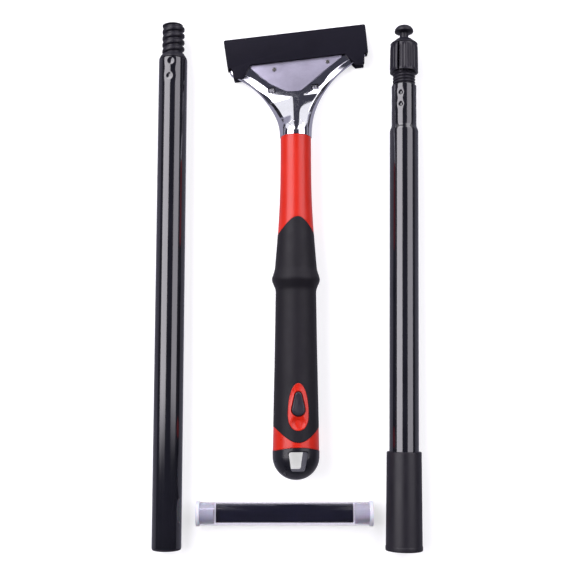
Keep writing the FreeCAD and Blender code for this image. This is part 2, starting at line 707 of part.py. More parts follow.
def make_button_spring():
    """Small coil spring between the button well's floor and the button's recess."""
    spring = doc.addObject("Part::Feature", "button_spring")
    spring.Label = "button_spring"
    wire = size("spring_wire")
    rise = size("spring_top - button_floor") - 2 * wire
    steps = int(size("spring_steps"))
    total = int(size("spring_turns")) * steps
    sides = int(size("spring_sides"))
    sections = []
    for step in range(total + 1):
        out = Rotation(UP, 360.0 * step / steps).multVec(ACROSS)
        centre = out * size("spring_radius") + UP * (rise * step / total)
        corners = []
        for side in range(sides + 1):
            angle = 2 * math.pi * (side % sides) / sides
            corners.append(centre + out * (wire * math.cos(angle)) + UP * (wire * math.sin(angle)))
        sections.append(Part.makePolygon(corners))
    coil = Part.makeLoft(sections, True, True)
    coil.translate(Vector(0, size("button_low"), size("button_floor") + wire))
    spring.Shape = Part.makeCompound([coil])
    place_handle(spring)
    return spring


# ---------------------------------------------------------------- head

# Stations of the cast neck, in the blade's frame: distance from the joint, middle of the width,
# half width, middle height above the surface, half thickness, turn back towards the handle axis.
NECK_SECTIONS = (
    (-3.15, 0.0, 12.2, 18.17, 12.2, 1.0),
    (9.0, 1.1, 13.3, 15.4, 10.2, 0.7),
    (19.0, 2.1, 15.9, 11.75, 7.55, 0.35),
    (30.0, 2.4, 21.3, 7.7, 4.6, 0.0),
    (40.0, 3.7, 28.6, 5.4, 2.7, 0.0),
    (50.0, 5.0, 39.0, 4.8, 2.0, 0.0),
)


def neck_sections():
    """The listed stations with one more worked out between each two, on a smooth curve."""
    count = len(NECK_SECTIONS)
    for index, start in enumerate(NECK_SECTIONS):
        yield start
        if index + 1 < count:
            end = NECK_SECTIONS[index + 1]
            before = NECK_SECTIONS[max(index - 1, 0)]
            after = NECK_SECTIONS[min(index + 2, count - 1)]
            yield tuple((9 * (p + q) - (o + r)) / 16
                        for o, p, q, r in zip(before, start, end, after))


def make_head_body():
    """Plated casting: tang, round neck that flattens out, wings, seats for the blade and clamp."""
    body = new_body("head_body")
    sections = []
    for index, (station, middle, half, height, thick, back) in enumerate(neck_sections()):
        turn = -size("head_skew") * back
        sketch = sketch_on(body, f"section_{index}", "XZ_Plane", str(-station), turn)
        sketch.addGeometry(Part.Ellipse(Vector(middle, height, 0), half + 0.01, thick), False)
        sections.append(sketch)
    loft = body.newObject("PartDesign::AdditiveLoft", "neck_loft")
    loft.Profile = sections[0]
    loft.Sections = sections[1:]
    loft.Ruled = True
    wings = sketch_on(body, "wings", offset="plate_back")
    left = "head_centre - guard_half_width + guard_side_wall + 0.5"
    right = "head_centre + guard_half_width - guard_side_wall - 0.5"
    outline(wings, [
        ("-20", "34"), ("-24.3", "40.5"), ("-30", "46.4"), ("-38.5", "52.5"), ("-43.2", "54.7"),
        (left, "58"), (left, "plate_edge"), (right, "plate_edge"), (right, "61.5"),
        ("60.5", "58.4"), ("50.7", "54.2"), ("44.1", "49.3"), ("36.7", "44.2"), ("31", "39.5"),
        ("26", "34"),
    ])
    pad(body, wings, "plate_seat - plate_back")
    seat = sketch_on(body, "clamp_seat", offset="plate_seat")
    outline(seat, clamp_corners("0.3"))
    pocket(body, seat, "12", backwards=True)
    ledge = sketch_on(body, "blade_ledge", offset="blade_seat")
    outline(ledge, [("-60", "blade_heel - 0.1"), ("80", "blade_heel - 0.1"), ("80", "plate_edge + 1"),
                    ("-60", "plate_edge + 1")])
    pocket(body, ledge, "8", backwards=True)
    for side in ("left", "right"):
        window = sketch_on(body, f"window_{side}", offset="plate_back + screw_head_depth + 0.6")
        x_text, y_text = f"window_{side}_x", f"window_{side}_y"
        outline(window, rectangle(x_text, y_text, "window_width", "window_height"))
        pocket(body, window, "14", backwards=True)
        bore = sketch_on(body, f"screw_{side}", offset="-1")
        circle(bore, x_text, y_text, "screw_radius")
        pocket(body, bore, "12", backwards=True)
        sink = sketch_on(body, f"sink_{side}", offset="-1")
        circle(sink, x_text, y_text, "screw_head_radius")
        pocket(body, sink, "1 + plate_back + screw_head_depth", backwards=True)
        hole = sketch_on(body, f"pin_{side}", offset="plate_back - 1")
        circle(hole, f"pin_{side}_x", f"pin_{side}_y", "pin_radius")
        pocket(body, hole, "8", backwards=True)
    tang = sketch_on(body, "tang", "XZ_Plane", "0", -size("head_skew"))
    circle(tang, "0", "handle_z", "tang_radius")
    pad(body, tang, "tang_length + head_station - joint_station")
    place_head(body)
    return body


def rectangle(x_text, y_text, width, height):
    return [(f"{x_text} + {a} * {width}", f"{y_text} + {b} * {height}")
            for a, b in ((-0.5, -0.5), (0.5, -0.5), (0.5, 0.5), (-0.5, 0.5))]


def clamp_corners(grow):
    """The clamp plate's outline: a shallow bowl between the windows, straight at the blade."""
    return [
        (f"-29 - {grow}", "plate_edge"), (f"-29 - {grow}", "60"), (f"-21 - {grow}", f"51 - {grow}"),
        (f"-13.5 - {grow}", f"44 - {grow}"), ("-3", f"37.5 - {grow}"), ("8", f"36.5 - {grow}"),
        (f"18 + {grow}", f"43 - {grow}"), (f"28 + {grow}", f"50 - {grow}"),
        (f"44 + {grow}", "60"), (f"44 + {grow}", "plate_edge"),
    ]


def make_clamp_plate():
    """Flat plate that presses the blade on its seat."""
    body = new_body("clamp_plate")
    face = sketch_on(body, "face", offset="plate_seat")
    outline(face, clamp_corners("0"))
    pad(body, face, "clamp_thickness")
    for side in ("left", "right"):
        hole = sketch_on(body, f"hole_{side}", offset="plate_seat - 1")
        circle(hole, f"pin_{side}_x", f"pin_{side}_y", "pin_hole_radius")
        pocket(body, hole, "6", backwards=True)
    place_head(body)
    return body


def make_scraper_blade():
    """Steel blade clamped by its heel, with its bevelled edge inside the guard."""
    body = new_body("scraper_blade")
    strip = sketch_on(body, "section", "YZ_Plane", "head_centre")
    edge = "blade_heel + blade_width"
    outline(strip, [
        ("blade_heel", "blade_seat"), (edge, "blade_seat"),
        (f"{edge} - 1.6", "blade_seat + blade_thickness"),
        ("blade_heel", "blade_seat + blade_thickness"),
    ])
    pad(body, strip, "blade_length", midplane=True)
    place_head(body)
    return body


def head_fasteners(label, solids):
    """Several equal fasteners of the head kept in one node, each a solid of its own."""
    group = doc.addObject("Part::Feature", label)
    group.Label = label
    group.Shape = Part.makeCompound(solids)
    place_head(group)
    return group


def fastener_places(kind):
    return [(size(f"{kind}_{side}_x"), size(f"{kind}_{side}_y")) for side in ("left", "right")]


def make_clamp_screws():
    """Slotted screws, sunk in the back of the casting, that end in the square nuts."""
    solids = []
    for x, y in fastener_places("window"):
        back = size("plate_back")
        neck_top = back + size("screw_head_depth + 0.6 + nut_thickness + 0.4")
        head = Part.makeCylinder(size("screw_head_radius") - 0.1, size("screw_head_depth"),
                                 Vector(x, y, back))
        slot = Part.makeBox(size("screw_head_radius") * 1.6, 0.7, 0.6)
        slot.translate(Vector(x - size("screw_head_radius") * 0.8, y - 0.35, back))
        shank = Part.makeCylinder(size("screw_radius"), neck_top - back, Vector(x, y, back))
        solids.append(head.fuse(shank).cut(slot).removeSplitter().Solids[0])
    return head_fasteners("clamp_screws", solids)


def make_square_nuts():
    solids = []
    for x, y in fastener_places("window"):
        width, height, thick = size("nut_width"), size("nut_height"), size("nut_thickness")
        low = size("plate_back + screw_head_depth + 0.6")
        nut = Part.makeBox(width, height, thick, Vector(x - width / 2, y - height / 2, low))
        hole = Part.makeCylinder(size("screw_radius"), thick + 2, Vector(x, y, low - 1))
        solids.append(nut.cut(hole).Solids[0])
    return head_fasteners("square_nuts", solids)


def make_locating_pins():
    solids = []
    for x, y in fastener_places("pin"):
        low = size("plate_back")
        high = size("plate_seat + clamp_thickness + pin_proud")
        solids.append(Part.makeCylinder(size("pin_radius"), high - low, Vector(x, y, low)))
    return head_fasteners("locating_pins", solids)


def make_blade_guard():
    """Slip-on channel over the blade, with a pair of claws at both ends of both walls."""
    body = new_body("blade_guard")
    shell = sketch_on(body, "shell")
    right = [("guard_claw_root", "guard_edge"), ("guard_claw_inner", "guard_claw_tip"),
             ("guard_claw_outer", "guard_claw_tip"), ("guard_claw_outer + 1.2", "guard_edge - 0.8"),
             ("guard_half_width - 0.6", "guard_edge - 0.8"), ("guard_half_width", "guard_top")]
    corners = [(f"head_centre + ({x_text})", y_text) for x_text, y_text in right]
    corners += [(f"head_centre - ({x_text})", y_text) for x_text, y_text in reversed(right)]
    outline(shell, corners)
    block = pad(body, shell, "guard_thickness")
    top = size("guard_top") - 0.01
    round_edges(body, block, "guard_corner",
                lambda box: box.YMin > top and box.XLength < 0.01)
    cavity = sketch_on(body, "cavity", offset="guard_wall")
    half = "guard_half_width - guard_side_wall"
    outline(cavity, [
        (f"head_centre - ({half})", "guard_claw_tip - 5"),
        (f"head_centre + ({half})", "guard_claw_tip - 5"),
        (f"head_centre + ({half})", "guard_top - guard_wall"),
        (f"head_centre - ({half})", "guard_top - guard_wall"),
    ])
    pocket(body, cavity, "guard_thickness - 2 * guard_wall", backwards=True)
    place_head(body)
    return body


# ---------------------------------------------------------------- spare blade tube

def make_blade_tube():
    body = new_body("blade_tube")
    section = sketch_on(body, "wall")
    outline(section, ring("tube_radius - tube_wall", "tube_radius",
                          "-tube_length * 0.5", "tube_length * 0.5"))
    revolve(body, section)
    place_blade_tube(body)
    return body


def make_tube_cap(label, side):
    """Push-in cap: a rim as wide as the tube and a hollow plug inside it."""
    body = new_body(label)
    section = sketch_on(body, "half")
    inner = f"{side} * (tube_length * 0.5 - tube_cap_plug)"
    face = f"{side} * (tube_length * 0.5 + 0.1)"
    outer = f"{side} * (tube_length * 0.5 + tube_cap_rim)"
    floor = f"{side} * (tube_length * 0.5 + tube_cap_rim - 1.2)"
    plug = "tube_radius - tube_wall - 0.08"
    outline(section, [
        (f"{plug} - tube_cap_wall", inner), (plug, inner), (plug, face), ("tube_cap_radius", face),
        ("tube_cap_radius", f"{outer} - {side} * 0.5"), ("tube_cap_radius - 0.5", outer),
        ("0", outer), ("0", floor), (f"{plug} - tube_cap_wall", floor),
    ])
    revolve(body, section)
    place_blade_tube(body)
    return body


def make_spare_blades():
    """A tilted stack of blades lying on the bottom of the tube."""
    length, width = size("blade_length"), size("blade_width")
    thick, step = size("blade_thickness"), size("blade_thickness + spare_gap")
    count = int(size("spare_count"))
    solids = []
    for index in range(count):
        low = (index - count / 2) * step
        corners = [Vector(-width / 2, -length / 2, low), Vector(width / 2 - 1.6, -length / 2, low),
                   Vector(width / 2, -length / 2, low + thick / 2),
                   Vector(width / 2 - 1.6, -length / 2, low + thick),
                   Vector(-width / 2, -length / 2, low + thick)]
        face = Part.Face(Part.makePolygon(corners + corners[:1]))
        solids.append(face.extrude(Vector(0, length, 0)))
    stack = Part.makeCompound(solids)
    stack.translate(Vector(0, 0, -size("spare_drop")))
    stack.rotate(Vector(), ALONG, size("spare_tilt"))
    blades = doc.addObject("Part::Feature", "spare_blades")
    blades.Label = "spare_blades"
    blades.Shape = Part.makeCompound([stack])
    place_blade_tube(blades)
    return blades


# ---------------------------------------------------------------- assembly

def build():
    grip = make_grip_sleeve()
    doc.recompute()
    return [
        make_threaded_pole_tube(), make_threaded_tip(), make_threaded_pole_end_plug(),
        make_lock_pole_tube(), make_lock_plug(), make_lock_collar(), make_connector_sleeve(),
        grip, make_handle_core(grip), make_end_cap(), make_release_button(), make_catch_ring(),
        make_button_spring(),
        make_head_body(), make_clamp_plate(), make_scraper_blade(), make_clamp_screws(),
        make_square_nuts(), make_locating_pins(), make_blade_guard(),
        make_blade_tube(), make_tube_cap("tube_cap_left", -1), make_tube_cap("tube_cap_right", 1),
        make_spare_blades(),
    ]


def check(nodes):
    """Stop before anything is written if a feature failed or a solid is unsound."""
    for item in doc.Objects:
        if "Invalid" in item.State or "Error" in item.State:
            raise RuntimeError(f"{item.Name} failed to recompute: {item.State}")
    for node in nodes:
        if node.Shape.isNull() or not node.Shape.isValid() or not node.Shape.Solids:
            raise RuntimeError(f"{node.Label} has no sound shape")


nodes = build()
doc.recompute()
check(nodes)
os.makedirs("parts", exist_ok=True)
whole = FreeCAD.BoundBox()
for node in nodes:
    whole.add(node.Shape.BoundBox)
    node.Shape.exportStep(f"parts/{node.Label}.step")
    print(f"{node.Label:24s} solids {len(node.Shape.Solids)}  volume {node.Shape.Volume:9.1f} mm3")
print(f"loose box, size in mm: {whole.XLength:.1f} x {whole.YLength:.1f} x {whole.ZLength:.1f}")
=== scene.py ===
import json
from math import acos, asin, atan2, ceil, copysign, cos, hypot, pi, radians, sin, sqrt, tan

import bmesh
import bpy
import numpy as np
from mathutils import Matrix, Vector


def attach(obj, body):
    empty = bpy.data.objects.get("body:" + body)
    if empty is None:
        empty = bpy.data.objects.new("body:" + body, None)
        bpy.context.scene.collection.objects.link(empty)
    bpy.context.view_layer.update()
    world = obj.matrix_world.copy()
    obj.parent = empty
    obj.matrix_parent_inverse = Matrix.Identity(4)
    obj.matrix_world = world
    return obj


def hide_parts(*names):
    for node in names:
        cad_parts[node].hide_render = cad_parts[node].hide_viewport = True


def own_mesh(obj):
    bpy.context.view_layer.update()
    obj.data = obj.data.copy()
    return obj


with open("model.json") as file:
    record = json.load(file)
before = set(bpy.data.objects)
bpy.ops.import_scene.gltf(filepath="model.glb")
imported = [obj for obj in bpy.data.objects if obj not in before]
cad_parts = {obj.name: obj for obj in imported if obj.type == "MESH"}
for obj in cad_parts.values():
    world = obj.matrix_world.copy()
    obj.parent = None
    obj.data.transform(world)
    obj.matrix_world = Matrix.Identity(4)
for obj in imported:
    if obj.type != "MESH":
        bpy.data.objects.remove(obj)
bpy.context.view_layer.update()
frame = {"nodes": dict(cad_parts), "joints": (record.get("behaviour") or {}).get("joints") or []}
joints = {joint["name"]: joint for joint in frame["joints"]}

# Lengths below are millimetres in each item's own frame: X across, Y along it from its butt, Z its
# front. MM turns them into the frame's metres.
MM = 0.001
WELD = 2e-4
FRONT = Vector((0, 0, 1))


# --- places, read from the frame

def turn_of(along, front=FRONT):
    """Rotation whose Y is a direction of the row and whose Z is as near as can be to a front."""
    y = Vector(along).normalized()
    z = Vector(front)
    z = (z - y * z.dot(y)).normalized()
    return Matrix((y.cross(z), y, z)).transposed()


def box_along(node, turn):
    """Lowest and highest corner of a CAD node, measured along a rotation's own axes, in metres."""
    inverse = np.array(turn.transposed())
    points = np.array([vertex.co for vertex in frame["nodes"][node].data.vertices])
    turned = points @ inverse.T
    return Vector(turned.min(axis=0)), Vector(turned.max(axis=0))


def place_on_axis(round_node, low_node, turn):
    """Frame on a round node's axis whose zero station is the low end of another node."""
    low, high = box_along(round_node, turn)
    middle = (low + high) / 2
    middle.y = box_along(low_node, turn)[0].y
    return Matrix.Translation(turn @ middle) @ turn.to_4x4() @ Matrix.Scale(MM, 4)


def axis_of(joint_name):
    return Vector(joints[joint_name]["axis"])


THREADED_POLE = place_on_axis("threaded_pole_tube", "threaded_pole_end_plug", turn_of((0, 1, 0)))
LOCK_POLE = place_on_axis("connector_sleeve", "connector_sleeve", turn_of(-axis_of("collar_run")))
DOME_END = -1.05
HANDLE = place_on_axis("grip_sleeve", "end_cap", turn_of((0, 1, 0), -axis_of("button_press")))
HANDLE = HANDLE @ Matrix.Translation((0, -DOME_END, 0))
TUBE = place_on_axis("blade_tube", "blade_tube", turn_of((1, 0, 0)))
JOINT_STATION, HEAD_STATION = 257.55, 260.7
head_turn = turn_of(axis_of("guard_slide"))
head_point = HANDLE @ Vector((0, HEAD_STATION, 0))
head_point.z = 0
HEAD = Matrix.Translation(head_point) @ head_turn.to_4x4() @ Matrix.Scale(MM, 4)
SKEW = atan2(-head_turn[0][1], head_turn[1][1])


# --- mesh making

class Form:
    """A mesh in the making: points in millimetres in an item's own frame, and faces."""

    def __init__(self):
        self.points = []
        self.faces = []

    def add(self, rows, wrap=True):
        """Quads between following rows of equally many points."""
        start = len(self.points)
        count = len(rows[0])
        for row in rows:
            self.points.extend(tuple(point) for point in row)
        last = count if wrap else count - 1
        for r in range(len(rows) - 1):
            for c in range(last):
                a = start + r * count + c
                b = start + r * count + (c + 1) % count
                self.faces.append((a, b, b + count, a + count))
        return self

    def close(self, row):
        """One flat face over a loop."""
        start = len(self.points)
        self.points.extend(tuple(point) for point in row)
        self.faces.append(tuple(range(start, start + len(row))))
        return self


def shade(mesh, sharp):
    mesh.polygons.foreach_set("use_smooth", [True] * len(mesh.polygons))
    mesh.set_sharp_from_angle(angle=radians(sharp))


def piece(form, name, where, sharp=38.0):
    """A closed object from a form, placed in the row frame."""
    mesh = bpy.data.meshes.new(name)
    mesh.from_pydata(form.points, [], form.faces)
    work = bmesh.new()
    work.from_mesh(mesh)
    bmesh.ops.remove_doubles(work, verts=work.verts, dist=WELD)
    bmesh.ops.dissolve_degenerate(work, edges=work.edges, dist=WELD)
    bmesh.ops.recalc_face_normals(work, faces=work.faces)
    work.to_mesh(mesh)
    work.free()
    mesh.transform(where)
    shade(mesh, sharp)
    result = bpy.data.objects.new(name, mesh)
    bpy.context.scene.collection.objects.link(result)
    return result


def bake_modifiers(target, sharp=38.0):
    """Turn a piece's modifiers into its mesh."""
    graph = bpy.context.evaluated_depsgraph_get()
    graph.update()
    mesh = bpy.data.meshes.new_from_object(target.evaluated_get(graph))
    target.modifiers.clear()
    target.data = mesh
    shade(mesh, sharp)


def combine(target, others, operation, sharp=38.0):
    """Join closed pieces to a piece, or take them out of it, and use them up."""
    for other in others:
        modifier = target.modifiers.new(other.name, "BOOLEAN")
        modifier.operation = operation
        modifier.solver = "EXACT"
        modifier.object = other
    bake_modifiers(target, sharp)
    for other in others:
        bpy.data.objects.remove(other)


def cut(target, cutters, sharp=38.0):
    combine(target, cutters, "DIFFERENCE", sharp)


def bevel(target, width, angle, segments):
    modifier = target.modifiers.new("edges", "BEVEL")
    modifier.width = width * MM
    modifier.segments = segments
    modifier.limit_method = "ANGLE"
    modifier.angle_limit = radians(angle)


def weld_seams(target):
    """Join the doubled points of a CAD node's mesh."""
    target.modifiers.new("weld", "WELD").merge_threshold = 1e-6


def round_edges(target, width, angle, segments=3):
    bevel(target, width, angle, segments)
    bake_modifiers(target)


def turned_piece(path, segments, name, where, body, finish, node, push=None, closed=False):
    """A piece spun from a section, settled in one go."""
    settle(piece(lathe(path, segments, push, closed), name, where), body, finish, node)


def settle(target, body, finish, *nodes):
    """Give a piece its body, material and the CAD nodes it stands for.

    A slot has its material's name, without the number that Blender adds to a name in use.
    """
    target.data.materials.clear()
    target.data.materials.append(finish)
    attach(target, body)
    if nodes:
        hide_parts(*nodes)


def spline(xs, ys):
    """Natural cubic spline through points with rising x, as a function."""
    xs, ys = np.array(xs, float), np.array(ys, float)
    count = len(xs)
    gap = np.diff(xs)
    system, load = np.eye(count), np.zeros(count)
    for i in range(1, count - 1):
        system[i, i - 1:i + 2] = gap[i - 1], 2 * (gap[i - 1] + gap[i]), gap[i]
        load[i] = 6 * ((ys[i + 1] - ys[i]) / gap[i] - (ys[i] - ys[i - 1]) / gap[i - 1])
    bend = np.linalg.solve(system, load)

    def value(x):
        i = int(min(max(np.searchsorted(xs, x) - 1, 0), count - 2))
        a, b = (xs[i + 1] - x) / gap[i], (x - xs[i]) / gap[i]
        curved = (a ** 3 - a) * bend[i] + (b ** 3 - b) * bend[i + 1]
        return float(a * ys[i] + b * ys[i + 1] + curved * gap[i] ** 2 / 6)
    return value


def full_turn(count):
    """Evenly spaced angles of a whole turn."""
    return [2 * pi * k / count for k in range(count)]


def mix(a, b, t):
    """The point a share of the way from one point to another."""
    return tuple(start * (1 - t) + end * t for start, end in zip(a, b))


def circle(r, count, centre=(0.0, 0.0)):
    """Evenly spaced points of a circle."""
    return [(centre[0] + r * cos(t), centre[1] + r * sin(t)) for t in full_turn(count)]


def smoothstep(x, low, high):
    t = min(max((x - low) / (high - low), 0.0), 1.0)
    return t * t * (3 - 2 * t)


def bell(distance, reach):
    """1 at no distance, falling smoothly to 0 at the reach."""
    t = min(distance / reach, 1.0)
    return (1 - t * t) ** 2


def spread(low, high, step):
    """Even values from low to high, no further apart than the step."""
    return list(np.linspace(low, high, max(2, ceil((high - low) / step - 1e-9) + 1)))


def corner_curve(start, corner, end, steps):
    """Points of a short curve that rounds off a corner."""
    return [tuple(start * (1 - t) ** 2 + corner * 2 * t * (1 - t) + end * t * t)
            for t in np.linspace(0, 1, steps)]


def rounded_path(corners, steps=5):
    """(radius, station, rounding) corners of a section as points, each rounding a short curve."""
    path = []
    count = len(corners)
    for i, (r, y, rounding) in enumerate(corners):
        here = Vector((r, y))
        if not rounding:
            path.append((r, y))
            continue
        before = Vector(corners[i - 1][:2])
        after = Vector(corners[(i + 1) % count][:2])
        start = here + (before - here).normalized() * rounding
        end = here + (after - here).normalized() * rounding
        path += corner_curve(start, here, end, steps)
    return path


def refine(path, low, high, step):
    """Split the runs of a section that lie between two stations."""
    fine = []
    count = len(path)
    for i, (r, y) in enumerate(path):
        fine.append((r, y))
        r_next, y_next = path[(i + 1) % count]
        inside = low - WELD <= min(y, y_next) and max(y, y_next) <= high + WELD
        if inside and abs(y_next - y) > step:
            parts = ceil(abs(y_next - y) / step)
            fine += [(r + (r_next - r) * k / parts, y + (y_next - y) * k / parts)
                     for k in range(1, parts)]
    return fine


def ring_points(r, y, segments, push=None):
    """A ring about Y; angles run from the front towards the right."""
    row = []
    for angle in full_turn(segments):
        radius = push(r, y, angle) if push else r
        row.append((radius * sin(angle), y, radius * cos(angle)))
    return row


def lathe(path, segments, push=None, closed=True):
    """Spin a section about Y. An open section starts and ends on the axis."""
    rows = [ring_points(r, y, segments, push) for r, y in path]
    if closed:
        rows.append(rows[0])
    return Form().add(rows)


def prism(loop, low, high):
    """A straight block over a loop of (x, y) points."""
    bottom = [(x, y, low) for x, y in loop]
    top = [(x, y, high) for x, y in loop]
    return Form().add([bottom, top]).close(bottom).close(top)


def rounded_loop(corners, radius, steps=6):
    """A closed outline whose corners are rounded; a corner may carry its own radius."""
    loop = []
    count = len(corners)
    for i, corner in enumerate(corners):
        here = Vector(corner[:2])
        own = corner[2] if len(corner) > 2 else radius
        back = (Vector(corners[i - 1][:2]) - here).normalized()
        ahead = (Vector(corners[(i + 1) % count][:2]) - here).normalized()
        half = acos(max(-1.0, min(1.0, back.dot(ahead)))) / 2
        if own <= 0 or half > radians(88):
            loop.append(tuple(here))
            continue
        reach = own / tan(half)
        loop += corner_curve(here + back * reach, here, here + ahead * reach, steps)
    return loop


def teardrop(low, low_radius, high, high_radius, grow=0.0, steps=40):
    """Outline of two circles on the Y axis and their outer tangents."""
    r0, r1 = low_radius + grow, high_radius + grow
    lean = asin((r0 - r1) / (high - low))
    loop = []
    for t in np.linspace(pi - lean, 2 * pi + lean, steps):
        loop.append((r0 * cos(t), low + r0 * sin(t)))
    for t in np.linspace(lean, pi - lean, steps // 2):
        loop.append((r1 * cos(t), high + r1 * sin(t)))
    return loop


def towards(loop, centre, target):
    """Where an outline crosses the ray from a point inside it towards a target."""
    corners = np.array(loop)
    edges = np.roll(corners, -1, axis=0) - corners
    ray = np.array(target, float) - np.array(centre, float)
    offset = corners - np.array(centre, float)
    det = ray[0] * edges[:, 1] - ray[1] * edges[:, 0]
    det = np.where(np.abs(det) < 1e-12, 1e-12, det)
    reach = (offset[:, 0] * edges[:, 1] - offset[:, 1] * edges[:, 0]) / det
    along = (offset[:, 0] * ray[1] - offset[:, 1] * ray[0]) / det
    hits = reach[(along >= -1e-9) & (along <= 1 + 1e-9) & (reach > 0)]
    return tuple(np.array(centre) + ray * float(hits.min()))


def rectangle(x0, y0, x1, y1):
    return [(x0, y0), (x1, y0), (x1, y1), (x0, y1)]


def block(low, high):
    """A plain box between two corners, for cutting."""
    return prism(rectangle(*low[:2], *high[:2]), low[2], high[2])


# --- materials

class Nodes:
    """A material's node tree with its shader, and short ways to add nodes."""

    def __init__(self, name):
        self.material = bpy.data.materials.new(name)
        self.material.use_nodes = True
        self.tree = self.material.node_tree
        self.shader = self.tree.nodes["Principled BSDF"]
        self.coordinates = self.add("ShaderNodeTexCoord").outputs["Object"]

    def add(self, kind, **settings):
        node = self.tree.nodes.new(kind)
        for key, value in settings.items():
            setattr(node, key, value)
        return node

    def link(self, source, target):
        self.tree.links.new(source, target)

    def stretched(self, scale):
        mapping = self.add("ShaderNodeMapping")
        mapping.inputs["Scale"].default_value = scale
        self.link(self.coordinates, mapping.inputs["Vector"])
        return mapping.outputs["Vector"]

    def noise(self, size_mm, detail, stretch=(1, 1, 1)):
        node = self.add("ShaderNodeTexNoise")
        node.inputs["Scale"].default_value = 1 / (size_mm * MM)
        node.inputs["Detail"].default_value = detail
        self.link(self.stretched(stretch), node.inputs["Vector"])
        return node.outputs["Fac"]

    def cells(self, size_mm):
        node = self.add("ShaderNodeTexVoronoi", feature="SMOOTH_F1")
        node.inputs["Scale"].default_value = 1 / (size_mm * MM)
        self.link(self.coordinates, node.inputs["Vector"])
        return node.outputs["Distance"]

    def ranged(self, value, low, high, start=0.3, end=0.7):
        node = self.add("ShaderNodeMapRange")
        for key, number in (("From Min", start), ("From Max", end), ("To Min", low), ("To Max", high)):
            node.inputs[key].default_value = number
        self.link(value, node.inputs["Value"])
        return node.outputs["Result"]

    def colours(self, value, *stops):
        """Two colours along a value; each stop is (place, (r, g, b))."""
        node = self.add("ShaderNodeValToRGB")
        for element, (place, colour) in zip(node.color_ramp.elements, stops):
            element.position = place
            element.color = (*colour, 1)
        self.link(value, node.inputs["Fac"])
        return node.outputs["Color"]

    def mottled(self, value, colour, dark, light, start=0.3, end=0.7):
        """A colour that runs from a darker to a lighter tint along a value."""
        tints = [tuple(min(channel * factor, 1.0) for channel in colour) for factor in (dark, light)]
        return self.colours(value, (start, tints[0]), (end, tints[1]))

    def bump(self, height, depth_mm, below=None):
        node = self.add("ShaderNodeBump")
        node.inputs["Distance"].default_value = depth_mm * MM
        self.link(height, node.inputs["Height"])
        if below is not None:
            self.link(below, node.inputs["Normal"])
        return node.outputs["Normal"]

    def set(self, **values):
        """Values and links of the shader's sockets; underscores stand for spaces."""
        for key, value in values.items():
            socket = self.shader.inputs[key.replace("_", " ")]
            if isinstance(value, bpy.types.NodeSocket):
                self.link(value, socket)
            elif isinstance(value, tuple):
                socket.default_value = (*value, 1)
            else:
                socket.default_value = value
        return self.material


def moulded(name, colour, rough, patch=18.0, grain=0.35, depth=0.012, vary=0.12, ior=1.5):
    """Moulded plastic: faint flow patches, a fine grain and roughness that follows the patches."""
    n = Nodes(name)
    flow = n.noise(patch, 4.0)
    fine = n.noise(grain, 2.0)
    base = n.mottled(flow, colour, 1 - vary, 1 + vary)
    ripple = n.bump(n.noise(5.0, 1.0), depth * 1.5)
    return n.set(Base_Color=base, Roughness=n.ranged(flow, rough * 0.85, rough * 1.15), IOR=ior,
                 Normal=n.bump(fine, depth, ripple))


def rubber(name, colour):
    """Soft overmould: a fine spark-eroded grain, a little sheen, dusty patches."""
    n = Nodes(name)
    flow = n.noise(24.0, 5.0)
    base = n.mottled(flow, colour, 0.82, 1.22, 0.25, 0.75)
    skin = n.bump(n.cells(0.55), 0.035)
    rough = n.ranged(n.noise(9.0, 4.0), 0.50, 0.60)
    return n.set(Base_Color=base, Roughness=rough, Normal=n.bump(n.noise(0.2, 2.0), 0.012, skin),
                 Sheen_Weight=0.03, Sheen_Roughness=0.5, IOR=1.30)


def lacquer(name, colour, rough=0.09):
    """Gloss paint on steel tube: orange peel, hazy patches and a few hairline rubs along it."""
    n = Nodes(name)
    haze = n.noise(30.0, 5.0)
    rubs = n.noise(2.2, 3.0, stretch=(1, 0.03, 1))
    base = n.mottled(haze, colour, 0.8, 1.35)
    peel = n.bump(n.noise(3.5, 1.0), 0.0035)
    rough_now = n.ranged(rubs, rough * 0.75, rough * 1.6)
    return n.set(Base_Color=base, Roughness=rough_now, Normal=n.bump(rubs, 0.0012, peel), IOR=1.72)


def plated(name, colour, rough=0.07, pitting=0.004):
    """Bright plating on a casting: faint pitting, soft waviness, hazier where it was buffed less."""
    n = Nodes(name)
    haze = n.noise(7.0, 5.0)
    pits = n.cells(0.6)
    base = n.mottled(haze, colour, 0.93, 1)
    wave = n.bump(n.noise(4.0, 2.0), pitting * 2.0)
    return n.set(Base_Color=base, Metallic=1.0, Roughness=n.ranged(haze, rough * 0.6, rough * 1.7),
                 Normal=n.bump(pits, pitting, wave))


def brushed(name, colour, rough=0.3, stretch=(1, 0.04, 1), depth=0.004, grain=0.5):
    """Rolled or ground steel with lines along one way."""
    n = Nodes(name)
    lines = n.noise(grain, 4.0, stretch=stretch)
    patches = n.noise(12.0, 4.0)
    base = n.mottled(patches, colour, 0.86, 1.06)
    return n.set(Base_Color=base, Metallic=1.0, Roughness=n.ranged(lines, rough * 0.8, rough * 1.25),
                 Normal=n.bump(lines, depth))


def clear(name, colour):
    """Clear extruded tube with faint draw lines."""
    n = Nodes(name)
    lines = n.noise(1.2, 3.0, stretch=(0.02, 1, 1))
    base = n.mottled(lines, colour, 0.97, 1)
    return n.set(Base_Color=base, Transmission_Weight=1.0, Roughness=n.ranged(lines, 0.02, 0.07),
                 IOR=1.42, Normal=n.bump(lines, 0.003))


